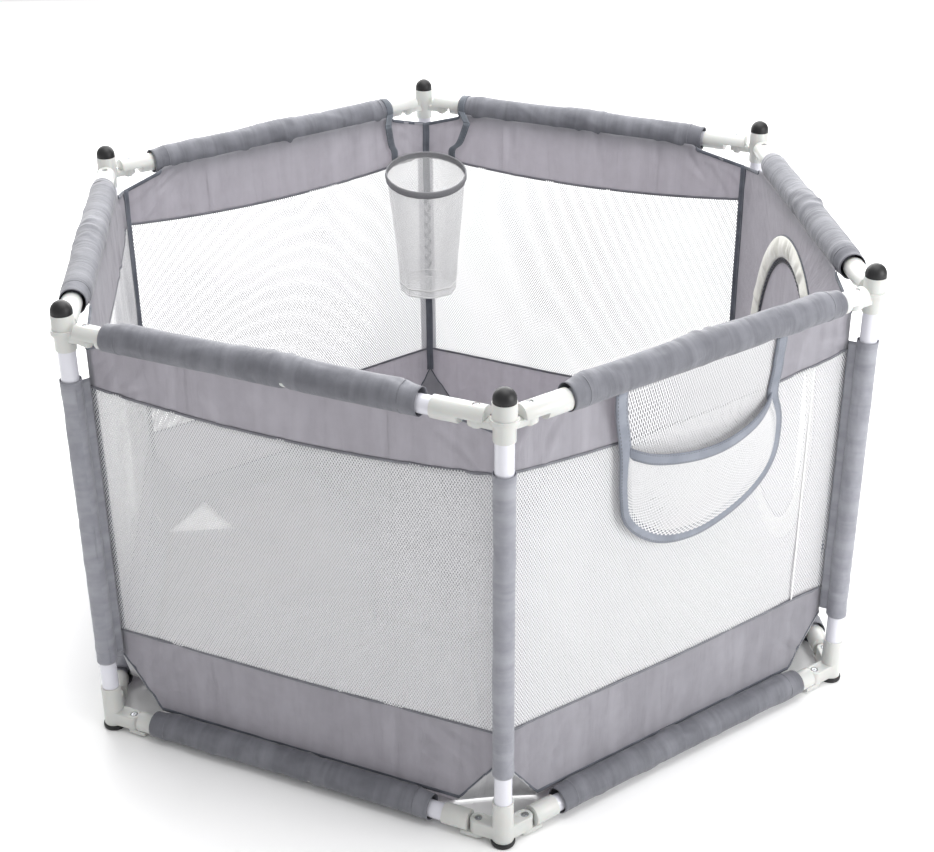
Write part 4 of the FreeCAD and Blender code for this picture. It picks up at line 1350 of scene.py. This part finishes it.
def build_hoop_straps():
    """Two straps from loops round the neighbouring covers down to the ring's rear quarters."""
    joint = next(j for j in frame["joints"] if j["name"] == "hoop_swing")
    pivot = Vector(joint["pos_m"]) / MM
    rest = math.sqrt(0.5) * (HOOP_R + 1.5)
    for sign, side in ((-1, 4), (1, 3)):
        label = "left" if sign < 0 else "right"
        half = f"side_{side}{'a' if side == 4 else 'b'}"
        low = tilted(sign * rest, rest, -HOOP_BAND / 2)
        top = (sign * 72.0, pivot.y, pivot.z)
        across = np.array([1.0, -sign * 0.5, 0.0])
        points = [top, tuple((a + b) / 2 + c for a, b, c in zip(top, low, (0, 1.5, 0))),
                  (low[0], low[1] + 0.5, low[2] + 24), low]
        strap = ribbon(f"ball_hoop_strap_{label}", WEBBING, points, steady(*across), 13.0, 1.6)
        put(strap, Matrix.Scale(MM, 4), "ball_hoop")
        if sign > 0:
            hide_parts("ball_hoop_straps")
        span = cover_span(TOP_COVER_ENDS[side])
        loop_x = span[0] + 8.5 if sign < 0 else span[1] - 8.5
        axis = cover_axis(np.array(loop_x), TOP_COVER_Z, TOP_COVER_R, span)
        mid_y, mid_z, r = (float(value) for value in axis)
        r += 2.2

        def loop(u, v, loop_x=loop_x, mid_y=mid_y, mid_z=mid_z, r=r):
            angle = 2 * math.pi * u
            pull = 2.0 * np.clip(np.cos(angle), 0, 1) ** 2
            return loop_x + (v - 0.5) * 13.0, mid_y + np.sin(angle) * r + pull, mid_z - np.cos(angle) * r

        ring = cloth(f"ball_hoop_loop_{label}", WEBBING, (56, 3), loop, (0.15, 1.0), 1.5, round_seam=True)
        put(ring, side_frame(side), half)
        # the stretch of webbing from the loop's underside to the strap's top
        loop_spot = side_frame(side) @ Vector((loop_x, mid_y + r * 0.97, mid_z - 2)) / MM
        link = ribbon(f"ball_hoop_strap_link_{label}", WEBBING, [tuple(loop_spot), tuple(
            (a + b) / 2 for a, b in zip(loop_spot, top)), top], steady(*across), 13.0, 1.6, 6)
        put(link, Matrix.Scale(MM, 4), half)


# ---- stage, light and camera ----------------------------------------------------------------
def area_light(name, power, size, spot, aim, shade):
    lamp = bpy.data.lights.new(name, "AREA")
    lamp.shape = "RECTANGLE"
    lamp.size, lamp.size_y = size
    lamp.energy = power
    lamp.color = shade
    holder = bpy.data.objects.new(name, lamp)
    holder.location = spot
    holder.rotation_euler = (Vector(aim) - Vector(spot)).to_track_quat("-Z", "Y").to_euler()
    bpy.context.scene.collection.objects.link(holder)


def build_stage():
    bpy.ops.object.select_all(action="DESELECT")
    bpy.ops.mesh.primitive_plane_add(size=40, location=(0, 0, 0))
    ground = named(bpy.context.object, "studio_floor", paper_floor("seamless_paper"))
    world = bpy.data.worlds.new("studio")
    bpy.context.scene.world = world
    world.use_nodes = True
    backdrop = world.node_tree.nodes["Background"]
    backdrop.inputs["Color"].default_value = (1.0, 1.0, 1.0, 1.0)
    backdrop.inputs["Strength"].default_value = 0.64
    area_light("back_softbox", 265, (5.6, 3.5), (0.2, 3.4, 1.9), (0, 0, 0.4), (1, 1, 1))
    area_light("overhead_softbox", 85, (3.0, 2.4), (0.3, 0.2, 3.2), (0, 0, 0.3), (1, 1, 1))
    area_light("right_softbox", 34, (1.2, 1.2), (2.0, -1.6, 1.2), (0, 0, 0.4), (1, 1, 1))
    bpy.context.scene.view_settings.view_transform = "Standard"


def build_camera():
    data = bpy.data.cameras.new("camera")
    data.sensor_width = 36.0
    data.lens = 64.42
    camera = bpy.data.objects.new("camera", data)
    yaw, pitch, roll = math.radians(-5.40), math.radians(28.02), math.radians(-0.45)
    turn = (Matrix.Rotation(yaw, 3, "Z") @ Matrix.Rotation(math.pi / 2 - pitch, 3, "X")
            @ Matrix.Rotation(roll, 3, "Z"))
    camera.matrix_world = Matrix.Translation((-0.2108, -2.3916, 1.5885)) @ turn.to_4x4()
    bpy.context.scene.collection.objects.link(camera)
    bpy.context.scene.camera = camera


build_camera()
build_stage()
finish_cad_nodes()
build_posts()
for number in range(1, SIDES + 1):
    build_covers(number)
    if number == DOOR_SIDE:
        build_door_wall()
    else:
        build_mesh_wall(number)
    free_edge_binding(number)
    build_corner(number)
    build_corner_panel(number)
    build_sleeve(number)
build_floor()
build_pocket()
build_hoop()
